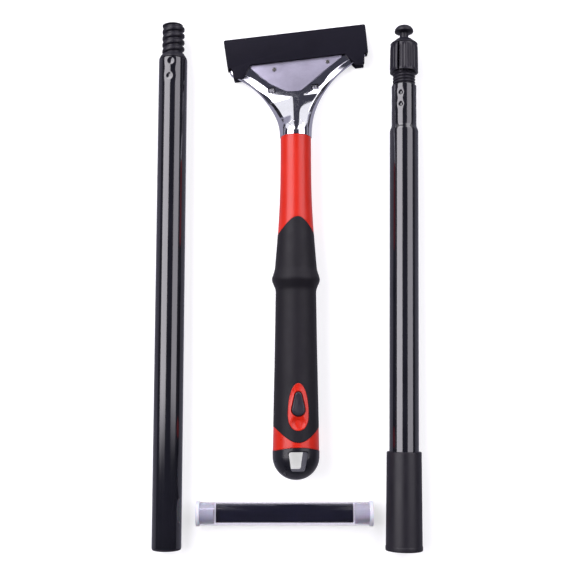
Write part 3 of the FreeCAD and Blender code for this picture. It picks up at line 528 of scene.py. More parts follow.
def frosted(name, colour):
    """Milky soft plastic: light passes but nothing shows sharp through it."""
    n = Nodes(name)
    cloud = n.noise(3.0, 4.0)
    base = n.mottled(cloud, colour, 0.93, 1)
    return n.set(Base_Color=base, Transmission_Weight=0.25, Roughness=n.ranged(cloud, 0.32, 0.5),
                 Subsurface_Weight=0.3, Subsurface_Scale=0.003, IOR=1.45,
                 Normal=n.bump(n.noise(0.5, 3.0), 0.01))


POLE_PAINT = lacquer("pole_paint", (0.006, 0.006, 0.009))
BLACK_NYLON = moulded("black_nylon", (0.010, 0.009, 0.014), 0.40, patch=8.0, depth=0.014, ior=1.33)
SLEEVE_BLACK = moulded("sleeve_black", (0.008, 0.007, 0.011), 0.42, patch=16.0, depth=0.016, ior=1.36)
COLLAR_BLACK = moulded("collar_black", (0.009, 0.008, 0.013), 0.34, patch=6.0, ior=1.36)
RED = moulded("red_plastic", (0.50, 0.013, 0.003), 0.32, patch=22.0, grain=0.5, depth=0.006, vary=0.06,
              ior=1.42)
GRIP = rubber("grip_rubber", (0.006, 0.005, 0.008))
GUARD = moulded("guard_black", (0.005, 0.0045, 0.010), 0.55, patch=20.0, depth=0.02, ior=1.20)
BUTTON = moulded("button_black", (0.016, 0.014, 0.021), 0.34, patch=5.0, depth=0.008)
CATCH = moulded("catch_nylon", (0.42, 0.42, 0.40), 0.42, patch=4.0, depth=0.01)
CAP = moulded("cap_black", (0.008, 0.008, 0.012), 0.30, patch=9.0, depth=0.005, ior=1.42)
CHROME = plated("chrome", (0.80, 0.80, 0.86))
SATIN = brushed("satin_plate", (0.36, 0.345, 0.43), 0.48, stretch=(0.3, 1, 1), depth=0.006, grain=0.8)
BLADE = brushed("blade_steel", (0.60, 0.61, 0.65), 0.24, stretch=(1, 0.05, 1))
SCREW = brushed("screw_steel", (0.72, 0.72, 0.76), 0.26, stretch=(1, 1, 1), grain=0.8)
PIN = brushed("pin_steel", (0.80, 0.78, 0.72), 0.20, stretch=(1, 1, 1), grain=0.6)
SPRING = brushed("spring_steel", (0.55, 0.55, 0.58), 0.28, stretch=(1, 1, 1), grain=0.4)
CLEAR = clear("clear_plastic", (0.92, 0.90, 0.97))
FROSTED = frosted("frosted_plastic", (0.73, 0.75, 0.81))
BLADE_DARK = moulded("blade_dark", (0.010, 0.011, 0.026), 0.34, patch=14.0, depth=0.006, ior=1.6)


# --- lower pole

POLE_R, POLE_WALL, POLE_END = 11.0, 1.0, 373.8
PIT_REACH, PIT_DEPTH, SAG_REACH, SAG_DEPTH = 2.5, 0.72, 4.8, 0.26


def crimps(marks, surface, size=1.0):
    """A push that presses round punch marks, each (station, angle in degrees), into a surface."""
    def push(r, y, angle):
        if r < surface - 0.7:
            return r
        for station, degrees in marks:
            if abs(y - station) > size * SAG_REACH:
                continue
            round_way = (angle - radians(degrees) + pi) % (2 * pi) - pi
            distance = hypot(y - station, surface * round_way)
            r -= SAG_DEPTH * bell(distance, size * SAG_REACH) + PIT_DEPTH * bell(distance, size * PIT_REACH)
        return r
    return push


def make_threaded_pole_tube():
    rim = 1.6
    low = POLE_END - 25
    path = rounded_path([(POLE_R - POLE_WALL, rim, 0), (POLE_R, rim, 0.15), (POLE_R, low, 0),
                         (POLE_R, POLE_END, 0.7), (POLE_R - POLE_WALL, POLE_END, 0)])
    path = refine(path, low, POLE_END, 0.3)
    marks = [(POLE_END - 3.6, -3.0), (POLE_END - 15.5, -9.0)]
    turned_piece(path, 288, "lower_pole_tube", THREADED_POLE, "threaded_pole", POLE_PAINT,
                 "threaded_pole_tube", crimps(marks, POLE_R, 1.35), closed=True)


def tooth(u, crest_start, crest_end, rise):
    """Height of a rounded thread at a fraction of its pitch."""
    up = smoothstep(u, crest_start - rise, crest_start)
    down = 1 - smoothstep(u, crest_end, crest_end + rise)
    middle = (crest_start + crest_end) / 2
    crown = 1 - 0.16 * min(abs(u - middle) / (crest_end - middle), 1.0) ** 2
    return max(0.0, min(up, down)) * crown


def thread(core, height, pitch, start, end, shape, fade=1.2):
    """A push that raises a right-hand thread between two stations on a core."""
    def push(r, y, angle):
        if abs(r - core) > 0.05 or not start - fade < y < end + fade:
            return r
        turn = (y - start) / pitch - (angle / (2 * pi))
        strength = smoothstep(y, start - fade, start) * (1 - smoothstep(y, end, end + fade))
        return r + height * strength * tooth(turn % 1.0, *shape)
    return push


def make_threaded_tip():
    foot, top = POLE_END + 4.5, POLE_END + 28.6
    core, crest = 7.2, 8.7
    path = [(0, POLE_END - 36), (9.6, POLE_END - 36), (9.9, POLE_END - 35.5), (9.9, POLE_END + 0.05)]
    shoulder = rounded_path([(10.1, POLE_END + 0.05, 0), (10.9, POLE_END + 0.35, 0.2),
                             (9.9, POLE_END + 2.6, 0.8), (8.6, foot - 0.2, 0.3), (core, foot, 0.3)])[:-4]
    stem = [(core, y) for y in spread(foot + 0.2, top - 0.3, 0.16)]
    nose = [(core - 0.15, top - 0.08), (core - 0.4, top), (0, top)]
    push = thread(core, crest - core, 5.3, foot + 0.8, top - 0.9, (0.26, 0.70, 0.20), 0.8)
    turned_piece(path + shoulder + stem + nose, 144, "lower_pole_thread", THREADED_POLE,
                 "threaded_pole", BLACK_NYLON, "threaded_tip", push)


def make_threaded_pole_end_plug():
    path = rounded_path([(0, 0, 0), (POLE_R - 0.3, 0, 1.2), (POLE_R - 0.05, 1.6, 0.2), (9.9, 1.62, 0),
                         (9.9, 14, 0.3), (8.5, 14, 0.3), (8.5, 2.6, 0.3), (0, 2.6, 0)], 8)
    turned_piece(path, 128, "lower_pole_end_plug", THREADED_POLE, "threaded_pole", BLACK_NYLON,
                 "threaded_pole_end_plug")


# --- upper pole

NECK_R, NECK_END = 9.6, 352.9
SWAGE_LOW, SWAGE_HIGH = 317.2, 320.4
CRIMP_ROWS = [(NECK_END - back, -22.0 + 90.0 * row) for row in range(4) for back in (7.5, 16.7)]


def make_lock_pole_tube():
    low = 41.95
    path = rounded_path([(POLE_R - POLE_WALL, low, 0), (POLE_R, low, 0), (POLE_R, SWAGE_LOW, 1.2),
                         (NECK_R, SWAGE_HIGH, 1.2), (NECK_R, NECK_END - 26, 0), (NECK_R, NECK_END, 0.6),
                         (NECK_R - POLE_WALL, NECK_END, 0.1), (NECK_R - POLE_WALL, SWAGE_HIGH, 0.5),
                         (POLE_R - POLE_WALL, SWAGE_LOW, 0.5)])
    path = refine(path, NECK_END - 26.1, NECK_END + 1, 0.3)
    turned_piece(path, 288, "upper_pole_tube", LOCK_POLE, "lock_pole", POLE_PAINT,
                 "lock_pole_tube", crimps(CRIMP_ROWS, NECK_R), closed=True)


def make_lock_plug():
    root, crest_end = 7.95, 386.2
    path = [(0, NECK_END - 31), (8.3, NECK_END - 31), (8.5, NECK_END - 30.7), (8.5, NECK_END - 0.1)]
    stem = [(root, y) for y in spread(NECK_END, crest_end - 0.1, 0.14)]
    cone = rounded_path([(root, crest_end, 0), (10.6, crest_end, 0.2), (10.6, crest_end + 0.5, 0.3),
                         (5.4, 391, 0.4), (3.4, 391, 0.3), (3.4, 395.5, 0.5), (7.35, 396.4, 0.7),
                         (7.3, 398.4, 0.7), (5.6, 400.8, 1.2), (3.0, 401.95, 1.2), (0, 402, 0)], 6)
    push = thread(root, 0.85, 2.4, NECK_END + 0.9, crest_end - 1.2, (0.36, 0.54, 0.26), 0.7)
    turned_piece(path + stem + cone, 144, "upper_pole_lock_plug", LOCK_POLE, "lock_pole", BLACK_NYLON,
                 "lock_plug", push)


def make_lock_collar():
    """A C-shaped ring of fine ribs; its slit shows as one wide dark line."""
    start, end = 363.6, 386.1
    ribs, slit_angle, slit_half = 24, radians(-30.0), radians(4.3)
    outer = rounded_path([(9.15, start, 0.15), (11.0, start, 0.25), (10.85, start + 2.4, 0.6),
                          (10.55, end - 1.2, 0.4), (10.3, end, 0.4), (9.15, end, 0.15)], 4)
    outer = refine(outer, start, end, 1.2)
    columns = np.linspace(slit_angle + slit_half, slit_angle + 2 * pi - slit_half, ribs * 10)

    def ribbed(r, y, angle):
        rib = 0.5 + 0.5 * cos((angle - slit_angle) * ribs)
        band = smoothstep(y, start + 1.2, start + 2.6) * (1 - smoothstep(y, end - 2.6, end - 1.6))
        radius = r + (0.42 * band * (rib ** 0.7 - 0.55) if r > 10.1 else 0.0)
        return (radius * sin(angle), y, radius * cos(angle))

    rows = [[ribbed(r, y, angle) for angle in columns] for r, y in outer]
    form = Form().add(rows + rows[:1], wrap=False)
    for side in (0, -1):
        form.close([row[side] for row in rows])
    collar = piece(form, "lock_collar_ring", LOCK_POLE)
    settle(collar, "collar", COLLAR_BLACK, "lock_collar")


def make_connector_sleeve():
    """Sleeve with a rolled lip; the mouth has the groove that takes the lower pole's thread."""
    end, seat = 71.9, 41.9
    path = rounded_path([(11.15, 0, 0.5), (13.85, 0, 0.7), (13.85, 3.1, 0.5), (13.55, 3.5, 0.2),
                         (13.0, end, 0.9), (11.03, end, 0.2), (11.03, seat, 0), (0, seat, 0)], 6)
    bore = [(0, 40.0), (8.3, 40.0)]
    bore += [(8.3, y) for y in reversed(spread(13.6, 39.8, 0.2))]
    bore += [(8.9, 13.5), (11.0, 9.8)]
    groove = thread(8.3, -0.7, 5.3, 14.4, 38.0, (0.30, 0.62, 0.2))
    rows = [ring_points(r, y, 144, groove) for r, y in path + bore]
    form = Form().add(rows + rows[:1])
    sleeve = piece(form, "connector_sleeve_shell", LOCK_POLE)
    settle(sleeve, "lock_pole", SLEEVE_BLACK, "connector_sleeve")


# --- handle

BUTT_R = 17.35
upper_curve = spline((155.2, 180.0, 208.0, 232.0, JOINT_STATION), (15.95, 13.95, 12.35, 11.85, 11.8))
lower_curve = spline((BUTT_R, 55.0, 94.0, 139.7), (BUTT_R, 16.65, 15.9, 15.25))
BULGE = ((139.7, 15.25), (147.4, 18.42), (155.2, 15.95))
SOFTEN = 1.5


def raw_radius(station):
    if station >= BULGE[2][0]:
        return upper_curve(min(station, JOINT_STATION))
    if station > BULGE[0][0]:
        return float(np.interp(station, *zip(*BULGE)))
    return lower_curve(max(station, BUTT_R))


def handle_radius(station):
    """The handle's outer radius, with the bulge's feet and ridge softened."""
    near = BULGE[0][0] - 4 < station < BULGE[2][0] + 4
    if not near:
        return raw_radius(station)
    offsets = (-1.0, -0.5, 0.0, 0.5, 1.0)
    return sum(raw_radius(station + SOFTEN * k) for k in offsets) / len(offsets)


def on_handle(angle, station, inset=0.0):
    r = handle_radius(station) - inset
    return (r * sin(angle), station, r * cos(angle))


def bowed(x, rise, corner):
    """How far a rounded V has moved at a distance from its tip."""
    return rise * (sqrt(x * x + corner * corner) - corner)


def grip_top(angle):
    return 194.0 - bowed(13.8 * sin(angle), 1.95, 12.0)


def grip_bottom(angle):
    return 26.8 + bowed(16.7 * sin(angle), 1.42, 13.5)


def seam(angle):
    """The cap's joint line: a low arch over the handle's width."""
    return 20.3 + 2.8 * cos(angle) ** 2


GRIP_WALL = 1.6
HALF_COLUMNS = 72
SPLIT = 80.0
SIDE_ROWS = 36
BEZEL_LOW, BEZEL_WAIST, BEZEL_HIGH, BEZEL_HALF = 35.4, 47.1, 69.9, 7.65
BUTTON_FACE = dict(low=50.7, low_radius=4.85, high=61.0, high_radius=2.5)
BUTTON_CENTRE = (0.0, 53.5)


def egg(grow=0.0, steps=120):
    """Outline of the button's window: blunt below its waist, slimmer above."""
    loop = []
    for t in full_turn(steps):
        c, s = cos(t), sin(t)
        power = 2 / 2.1 if s > 0 else 2 / 2.3
        reach = BEZEL_HIGH - BEZEL_WAIST if s > 0 else BEZEL_WAIST - BEZEL_LOW
        x = (BEZEL_HALF + grow) * copysign(abs(c) ** power, c)
        loop.append((x, BEZEL_WAIST + (reach + grow) * copysign(abs(s) ** power, s)))
    return loop


def side_row(angle, t):
    return grip_bottom(angle) * (1 - t) + SPLIT * t


def make_grip_sleeve():
    """Soft overmould: back half, front half, and a patch round the egg-shaped window."""
    front = list(np.linspace(-pi / 2, pi / 2, HALF_COLUMNS + 1))
    back = [angle + pi for angle in front]
    constant = spread(SPLIT, 138, 1.6) + spread(138.4, 159, 0.45) + spread(160, 176, 1.2)
    blend_rows = list(np.linspace(0, 1, 16))[1:]
    steps = list(np.linspace(0, 1, SIDE_ROWS + 1))

    def upper_rows(angles):
        rows = [[on_handle(angle, y) for angle in angles] for y in constant]
        for t in blend_rows:
            rows.append([on_handle(angle, 176 * (1 - t) + grip_top(angle) * t) for angle in angles])
        return rows

    form = Form()
    form.add(upper_rows(front), wrap=False)
    lower_back = [[on_handle(angle, side_row(angle, t)) for angle in back] for t in steps]
    form.add(lower_back[:-1] + upper_rows(back), wrap=False)
    outer = [(angle, grip_bottom(angle)) for angle in front]
    outer += [(pi / 2, side_row(pi / 2, t)) for t in steps[1:-1]]
    outer += [(angle, SPLIT) for angle in reversed(front)]
    outer += [(-pi / 2, side_row(-pi / 2, t)) for t in reversed(steps[1:-1])]
    hole = [(asin(x / handle_radius(y)), y) for x, y in egg(0.12)]
    inner = [towards(hole, BUTTON_CENTRE, target) for target in outer]
    rows = []
    for t in np.linspace(0, 1, 26):
        bent = t ** 1.35
        rows.append([on_handle(*mix(a, b, bent)) for a, b in zip(inner, outer)])
    form.add(rows)
    grip = piece(form, "handle_grip", HANDLE)
    shell = grip.modifiers.new("wall", "SOLIDIFY")
    shell.thickness = GRIP_WALL * MM
    shell.offset = -1
    bake_modifiers(grip)
    round_edges(grip, 0.35, angle=55)
    settle(grip, "scraper", GRIP, "grip_sleeve")


CORE_INSET = 0.12
SEAT_INSET = 1.75
BORE_R, BORE_END = 11.05, 120.0
CORE_COLUMNS = 192


def make_handle_core():
    """Hard red moulding, full size where it shows and a step lower where the grip sits."""
    columns = [(angle, seam(angle) + 0.25, grip_bottom(angle), grip_top(angle))
               for angle in full_turn(CORE_COLUMNS)]
    rows = []

    def add_rows(first, last, count, inset, skip=0):
        for t in list(np.linspace(0, 1, count))[skip:]:
            rows.append([on_handle(c[0], first(c) * (1 - t) + last(c) * t, inset) for c in columns])

    add_rows(lambda c: c[1], lambda c: c[1] + 0.3, 3, CORE_INSET + 0.1)
    add_rows(lambda c: c[1] + 0.4, lambda c: c[2] - 0.3, 12, CORE_INSET)
    add_rows(lambda c: c[2] - 0.1, lambda c: c[2] - 0.05, 2, CORE_INSET + 0.25)
    add_rows(lambda c: c[2], lambda c: 130.0, 60, SEAT_INSET)
    add_rows(lambda c: 130.0, lambda c: 165.0, 50, SEAT_INSET, 1)
    add_rows(lambda c: 165.0, lambda c: c[3], 20, SEAT_INSET, 1)
    add_rows(lambda c: c[3] + 0.05, lambda c: c[3] + 0.1, 2, CORE_INSET + 0.25)
    add_rows(lambda c: c[3] + 0.3, lambda c: 215.0, 20, CORE_INSET)
    add_rows(lambda c: 215.0, lambda c: JOINT_STATION - 0.4, 30, CORE_INSET, 1)
    inside = [(11.4, JOINT_STATION), (6.1, JOINT_STATION), (6.1, 210.0), (0.0, 210.0)]
    tube = [(0.0, BORE_END), (BORE_R, BORE_END)]
    rows += [ring_points(r, y, CORE_COLUMNS) for r, y in inside + tube]
    rows.append([(BORE_R * sin(c[0]), c[1], BORE_R * cos(c[0])) for c in columns])
    core = piece(Form().add(rows + rows[:1]), "handle_core_moulding", HANDLE)
    well = piece(prism(teardrop(**BUTTON_FACE, grow=0.45), 12.2, 30), "well", HANDLE)
    neck = piece(block((-3.0, 59.2, 8), (3.0, 62.8, 13.2)), "neck_slot", HANDLE)
    ring = rounded_path([(0, 59.2, 0), (11.3, 59.2, 0), (11.3, 62.8, 0), (0, 62.8, 0)])
    slot = piece(lathe(ring, 96, closed=False), "catch_slot", HANDLE @ Matrix.Translation((0, 0, -2.4)))
    cut(core, [well, neck, slot])
    settle(core, "scraper", RED, "handle_core")


def bezel_height(x, y):
    """The handle's surface, scooped below the button so that a thumb finds it."""
    r = handle_radius(y)
    surface = sqrt(r * r - x * x)
    scoop = 26.9 - sqrt(max(144 - x * x - (y - 40.2) ** 2, 1.0))
    gap = surface - scoop
    soft = 0.35
    return surface - 0.5 * (gap + sqrt(gap * gap + soft * soft)) if gap > -2 else surface


def make_button_bezel():
    """Red egg-shaped insert round the button, flush at its edge, falling into the thumb scoop."""
    outer = egg(-0.02)
    inner_loop = teardrop(**BUTTON_FACE, grow=0.47, steps=96)
    inner = [towards(inner_loop, BUTTON_CENTRE, target) for target in outer]

    def row(t, sink):
        points = []
        for a, b in zip(outer, inner):
            x, y = mix(a, b, t)
            points.append((x, y, bezel_height(x, y) - sink))
        return points

    def low_row(loop):
        return [(x, y, sqrt((handle_radius(y) - SEAT_INSET - 0.3) ** 2 - x * x)) for x, y in loop]

    rows = [low_row(outer)]
    rows += [row(t, sink) for t, sink in ((0, 0.45), (0.01, 0.18), (0.04, 0.03), (0.08, -0.04))]
    rows += [row(t, -0.05 + 0.12 * sin(pi * t)) for t in np.linspace(0.14, 0.92, 12)]
    rows += [row(0.965, 0.02), row(0.99, 0.12), row(1.0, 0.35), low_row(inner)]
    bezel = piece(Form().add(rows + rows[:1]), "button_bezel", HANDLE)
    settle(bezel, "scraper", RED)


def make_release_button():
    """Teardrop button, crowned at the edge and faintly dished, on a neck that meets the catch."""
    base, top, crown = 14.6, 17.1, 1.1
    loop = teardrop(**BUTTON_FACE, steps=96)
    centre = Vector(BUTTON_CENTRE)

    def scaled(inset, z):
        """The outline moved in along rays from the button's middle."""
        row = []
        for x, y in loop:
            ray = Vector((x, y)) - centre
            point = centre + ray * max(0.0, 1 - inset / ray.length)
            row.append((point.x, point.y, z))
        return row

    rows = [scaled(20, base), scaled(0, base)]
    for t in np.linspace(0, pi / 2, 7):
        rows.append(scaled(crown * (1 - cos(t)), top - crown + crown * sin(t)))
    face = rows[-1]
    for part in (0.2, 0.4, 0.6, 0.8, 1.0):
        dished = top - 0.22 * smoothstep(part, 0, 0.9)
        rows.append([(*mix((x, y), BUTTON_CENTRE, part), dished) for x, y, _ in face])
    button = piece(Form().add(rows), "push_button", HANDLE)
    recess = rounded_path([(0, 0, 0), (3.3, 0, 0), (3.3, 1.4, 0), (0, 1.4, 0)])
    stand = Matrix.Translation((0, BUTTON_FACE["low"], base - 0.2)) @ Matrix.Rotation(pi / 2, 4, "X")
    hollow = piece(lathe(recess, 64, closed=False), "spring_recess", HANDLE @ stand)
    cut(button, [hollow])
    neck = piece(block((-2.0, 59.5, 10.6), (2.0, 62.5, 14.9)), "neck", HANDLE)
    combine(button, [neck], "UNION")
    settle(button, "button", BUTTON, "release_button")


HANG_HOLE = [(-4.9, 6.0), (4.9, 6.0), (7.2, 20.0), (-7.2, 20.0)]
HOLE_CENTRE = (0.0, 13.2)


def make_end_cap():
    """Gloss dome with a hanging hole through it; front and back patches meet at the silhouette."""
    lip = 0.9
    side = 20.3
    rim = DOME_END + BUTT_R
    outline = [(-BUTT_R, y) for y in spread(rim, side, 0.6)][::-1]
    outline += [(-BUTT_R * cos(t), rim - BUTT_R * sin(t))
                for t in np.linspace(0, pi, 97)[1:]]
    outline += [(BUTT_R, y) for y in spread(rim, side, 0.6)[1:]]
    widths = [BUTT_R * cos(t) for t in np.linspace(0, pi, 73)[1:-1]]
    outline += [(x, side + 2.8 * (1 - (x / BUTT_R) ** 2)) for x in widths]
    hole_loop = rounded_loop(HANG_HOLE, 2.0, 8)
    hole = [towards(hole_loop, HOLE_CENTRE, target) for target in outline]

    def height(x, y):
        r = sqrt(max(BUTT_R ** 2 - (rim - y) ** 2, 0)) if y < rim else BUTT_R
        return sqrt(max(r * r - x * x, 0.0))

    def lip_drop(distance):
        t = min(distance / lip, 1.0)
        return lip * (1 - sqrt(1 - (1 - t) ** 2))

    def patch(sign):
        rows = []
        for t in [0, 0.012, 0.03, 0.06, 0.1] + list(np.linspace(0.15, 1, 22)):
            reach = sin(pi / 2 * t)
            row = []
            for a, b in zip(hole, outline):
                x, y = mix(a, b, reach)
                away = hypot(x - a[0], y - a[1])
                row.append((x, y, sign * max(height(x, y) - lip_drop(away), 0.0)))
            rows.append(row)
        return rows

    front, back = patch(1), patch(-1)
    form = Form().add(front).add(back)
    form.add([[mix(a, b, t) for a, b in zip(front[0], back[0])] for t in np.linspace(0, 1, 13)])
    seam_front = front[-1][-len(widths) - 1:] + front[-1][:1]
    seam_back = back[-1][-len(widths) - 1:] + back[-1][:1]
    lid = [[mix(a, b, t) for a, b in zip(seam_front, seam_back)] for t in np.linspace(0, 1, 9)]
    form.add(lid, wrap=False)
    cap = piece(form, "handle_end_cap", HANDLE)
    stub = rounded_path([(0, 17.5, 0), (10.95, 17.5, 0), (10.95, 33, 0.8), (0, 33, 0)], 6)
    plug = piece(lathe(stub, 128, closed=False), "cap_plug", HANDLE)
    hole_cut = piece(prism(rounded_loop(HANG_HOLE, 2.0, 8), -30, 30), "plug_hole", HANDLE)
    cut(plug, [hole_cut])
    settle(cap, "cap", CAP, "end_cap")
    settle(plug, "cap", CAP)


# --- head

CENTRE_U, HALF_WIDTH = 9.15, 56.15
GUARD_WALL, GUARD_SIDE, GUARD_TOP, GUARD_EDGE, GUARD_DEEP = 1.8, 1.6, 83.5, 61.3, 10.0
WINDOWS = ((-14.2, 39.6), (19.8, 38.2))
PINS = ((-10.0, 56.0), (32.3, 57.3))
PLATE_BACK, PLATE_SEAT, BLADE_SEAT = 2.6, 6.6, 6.0
HEAD_COLUMNS = 160
# The neck's flanks, as curves about the handle's axis from the joint to the wing tips.
RIGHT_FLANK = ((12.2, -3.15), (12.25, 29), (28, 52), (53, 65))
LEFT_FLANK = ((-12.2, -3.15), (-12.25, 19), (-27, 40.5), (-49.2, 49.1))
# How far the neck reaches back from the head's own zero to its joint with the handle.
LIP = HEAD_STATION - JOINT_STATION
# The handle's axis above the surface, where the neck meets it.
AXIS_HEIGHT = 18.17
NECK_STATIONS = (-LIP, 0, 9, 19, 30, 36, 42, 52, 72)
neck_top = spline(NECK_STATIONS, (30.37, 30.0, 25.6, 19.3, 12.3, 9.1, 7.7, 7.5, 7.5))
neck_back = spline(NECK_STATIONS, (5.97, 5.9, 5.2, 4.2, 3.1, 2.7, 2.6, 2.6, 2.6))


def flank_point(flank, t):
    """A point of a flank in the head's frame."""
    weights = ((1 - t) ** 3, 3 * t * (1 - t) ** 2, 3 * t * t * (1 - t), t ** 3)
    x = sum(w * p[0] for w, p in zip(weights, flank))
    y = sum(w * p[1] for w, p in zip(weights, flank))
    return Vector((x * cos(SKEW) + y * sin(SKEW), -x * sin(SKEW) + y * cos(SKEW)))


def head_section(left, right):
    """Round at the handle; further on a flat strip between slopes, bevels and steeper sides."""
    middle = (left + right) / 2
    half = (right - left) / 2
    width = half.length
    v = middle.y
    top, back = neck_top(v), neck_back(v)
    shaped, flat = smoothstep(v, 0, 16), smoothstep(v, 8, 36)
    edge_z = (top + back) / 2 * (1 - flat) + (PLATE_BACK + 1.0) * flat
    high, low = top - edge_z, edge_z - back
    rim = 1.1
    slope = 0.36 - 0.15 * smoothstep(v, 12, 26)
    crown = 0.16 * width
    side = 2.1 - 0.8 * smoothstep(v, 10, 30)
    bevel, band = 0.80, 2.9 * (1 - smoothstep(v, 34, 46))
    reach = high - rim
    steep = max(bevel, (reach - bevel * band - slope * (width - crown - side - band)) / side)
    row = []
    for angle in full_turn(HEAD_COLUMNS):
        c, s = cos(angle), sin(angle)
        away = (1 - abs(c)) * width
        edge = sqrt(1 - (1 - min(away / rim, 1.0)) ** 2)
        if s >= 0:
            climb = steep * min(away, side) + bevel * min(max(away - side, 0.0), band)
            climb += slope * max(away - side - band, 0.0)
            gap = reach - climb
            climb = reach - 0.5 * (gap + sqrt(gap * gap + 0.05)) + 0.1
            faceted = rim * edge + max(min(climb, reach), 0.0)
            height = high * s * (1 - shaped) + faceted * shaped
        else:
            height = -low * (-s * (1 - flat) + edge * flat)
        point = middle + half * c
        row.append((point.x, point.y, edge_z + height))
    return row


def clamp_outline(grow):
    """A shallow bowl between the windows, straight at the blade."""
    g = grow
    return [(-29 - g, 72), (-29 - g, 60, 3), (-21 - g, 51 - g, 8), (-13.5 - g, 44 - g, 8),
            (-3, 37.5 - g, 8), (8, 36.5 - g, 8), (18 + g, 43 - g, 8), (28 + g, 50 - g, 12),
            (44 + g, 60, 3), (44 + g, 72)]


def window_loop(u, v, gap):
    half_u, half_v = 3 - gap, 2.3 - gap
    return rounded_loop(rectangle(u - half_u, v - half_v, u + half_u, v + half_v), 0.5)


def make_head_body():
    rows = [head_section(flank_point(LEFT_FLANK, t), flank_point(RIGHT_FLANK, t))
            for t in np.linspace(0, 1, 72)]
    tips = (flank_point(LEFT_FLANK, 1), flank_point(RIGHT_FLANK, 1))
    ends = (Vector((-44.9, 58.4)), Vector((63.2, 61.6)))
    for t in np.linspace(0, 1, 7)[1:]:
        bend = 1 - (1 - t) ** 2
        sides = [Vector((tip.x + (end.x - tip.x) * bend, tip.y + (end.y - tip.y) * t))
                 for tip, end in zip(tips, ends)]
        rows.append(head_section(*sides))
    for v in spread(63, 72, 1.5):
        rows.append(head_section(*[Vector((end.x, v)) for end in ends]))
    shoulder, step, tang = -0.25 - LIP, 6.0, -49.5 - LIP
    turned = Matrix.Rotation(SKEW, 3, "Z").inverted()
    stem = []
    for r, y in ((0.0, tang), (step, tang), (step, shoulder), (11.7, shoulder)):
        ring = []
        for x, up in circle(r, HEAD_COLUMNS):
            local = turned @ Vector((x, y, 0))
            ring.append((local.x, local.y, AXIS_HEIGHT + up))
        stem.append(ring)
    lip = [mix(a, b, 0.5) for a, b in zip(stem[-1], rows[0])]
    form = Form().add(stem + [lip] + rows).close(rows[-1])
    head = piece(form, "scraper_head", HEAD, 34)
    cutters = [piece(prism(rounded_loop(clamp_outline(0.3), 0), PLATE_SEAT, 30), "seat", HEAD),
               piece(block((-60, 63.9, BLADE_SEAT), (80, 80, 30)), "ledge", HEAD)]
    for side, (u, v) in enumerate(WINDOWS):
        cutters.append(piece(prism(window_loop(u, v, 0.0), PLATE_BACK + 1.9, 20), f"window_{side}", HEAD))
        for name, r, z in (("bore", 1.25, 12), ("sink", 2.4, PLATE_BACK + 1.3)):
            cutters.append(round_cutter(f"{name}_{side}", u, v, r, -1, z))
    for side, (u, v) in enumerate(PINS):
        cutters.append(round_cutter(f"pin_hole_{side}", u, v, 1.52, -1, 12))
    cut(head, cutters, 34)
    settle(head, "scraper", CHROME, "head_body")
    return head


def make_window_shade_liners():
    """Black nylon frames lining the two windows round the nuts: painted shade, a dark lining standing for
    the shade inside the windows.
    """
    floor, top = PLATE_BACK + 1.92, 7.4
    for side, (u, v) in enumerate(WINDOWS):
        # Painted shade: a black lining on the window walls, where the windows only lie in shade.
        liner = piece(prism(window_loop(u, v, 0.05), floor, top), f"window_shade_liner_{side}", HEAD)
        hollow = piece(block((u - 2.2, v - 1.83, PLATE_BACK), (u + 2.2, v + 1.83, 12)), "hollow", HEAD)
        cut(liner, [hollow])
        settle(liner, "scraper", BLACK_NYLON)


def round_cutter(name, u, v, r, low, high):
    return piece(prism(circle(r, 40, (u, v)), low, high), name, HEAD)


def make_direction_mark(head):
    """A thin raised outline of a plain arrow on the neck."""
    wire = 0.22
    corners = [(-5.6, 0), (-1.6, 3.4), (-1.6, 1.7), (5.0, 1.7), (5.0, -2.6), (-1.6, -2.6), (-1.6, -3.8)]
    middle = (flank_point(LEFT_FLANK, 0.12) + flank_point(RIGHT_FLANK, 0.12)) / 2
    path = []
    count = len(corners)
    inverse = HEAD.inverted()
    for i, start in enumerate(corners):
        end = corners[(i + 1) % count]
        for t in np.linspace(0, 1, 7)[:-1]:
            u, v = mix(start, end, t)
            origin = HEAD @ Vector((middle.x + u, middle.y + v, 60))
            hit, point, normal, _ = head.ray_cast(origin, Vector((0, 0, -1)))
            if hit:
                path.append((inverse @ point, (head_turn.transposed() @ normal).normalized()))
    rows = []
    total = len(path)
    for i, (point, normal) in enumerate(path):
        ahead = (path[(i + 1) % total][0] - path[i - 1][0]).normalized()
        side = ahead.cross(normal).normalized()
        rows.append([tuple(point + side * x + normal * y) for x, y in circle(wire, 8)])
    mark = piece(Form().add(rows + rows[:1]), "head_arrow_mark", HEAD, 60)
    settle(mark, "scraper", CHROME)


def make_clamp_plate():
    plate = piece(prism(rounded_loop(clamp_outline(0.0), 0), PLATE_SEAT, PLATE_SEAT + 1.2),
                  "blade_clamp_plate", HEAD)
    round_edges(plate, 0.3, angle=60)
    holes = [round_cutter(f"clamp_hole_{side}", u, v, 1.75, 0, 12) for side, (u, v) in enumerate(PINS)]
    cut(plate, holes)
    settle(plate, "scraper", SATIN, "clamp_plate")


def make_blade_guard():
    """Channel over the blade with rounded edges and a pair of claws on each wall."""
    right = [(37.2, GUARD_EDGE, 0.8), (44.7, 51.6, 0.5), (51.4, 51.6, 0.5), (52.6, 60.5, 0.3),
             (55.5, 60.5, 0.5), (HALF_WIDTH, GUARD_TOP, 1.8)]
    outline = [(CENTRE_U + u, v, r) for u, v, r in right]
    outline += [(CENTRE_U - u, v, r) for u, v, r in reversed(right)]
    guard = piece(prism(rounded_loop(outline, 0, 7), 0, GUARD_DEEP), "blade_guard_channel", HEAD)
    round_edges(guard, 0.8, angle=60, segments=4)
    half = HALF_WIDTH - GUARD_SIDE
    cavity = piece(block((CENTRE_U - half, 45, GUARD_WALL),
                         (CENTRE_U + half, GUARD_TOP - GUARD_WALL, GUARD_DEEP - GUARD_WALL)),
                   "cavity", HEAD)
    cut(guard, [cavity])
    settle(guard, "guard", GUARD, "blade_guard")


# --- spare blade tube

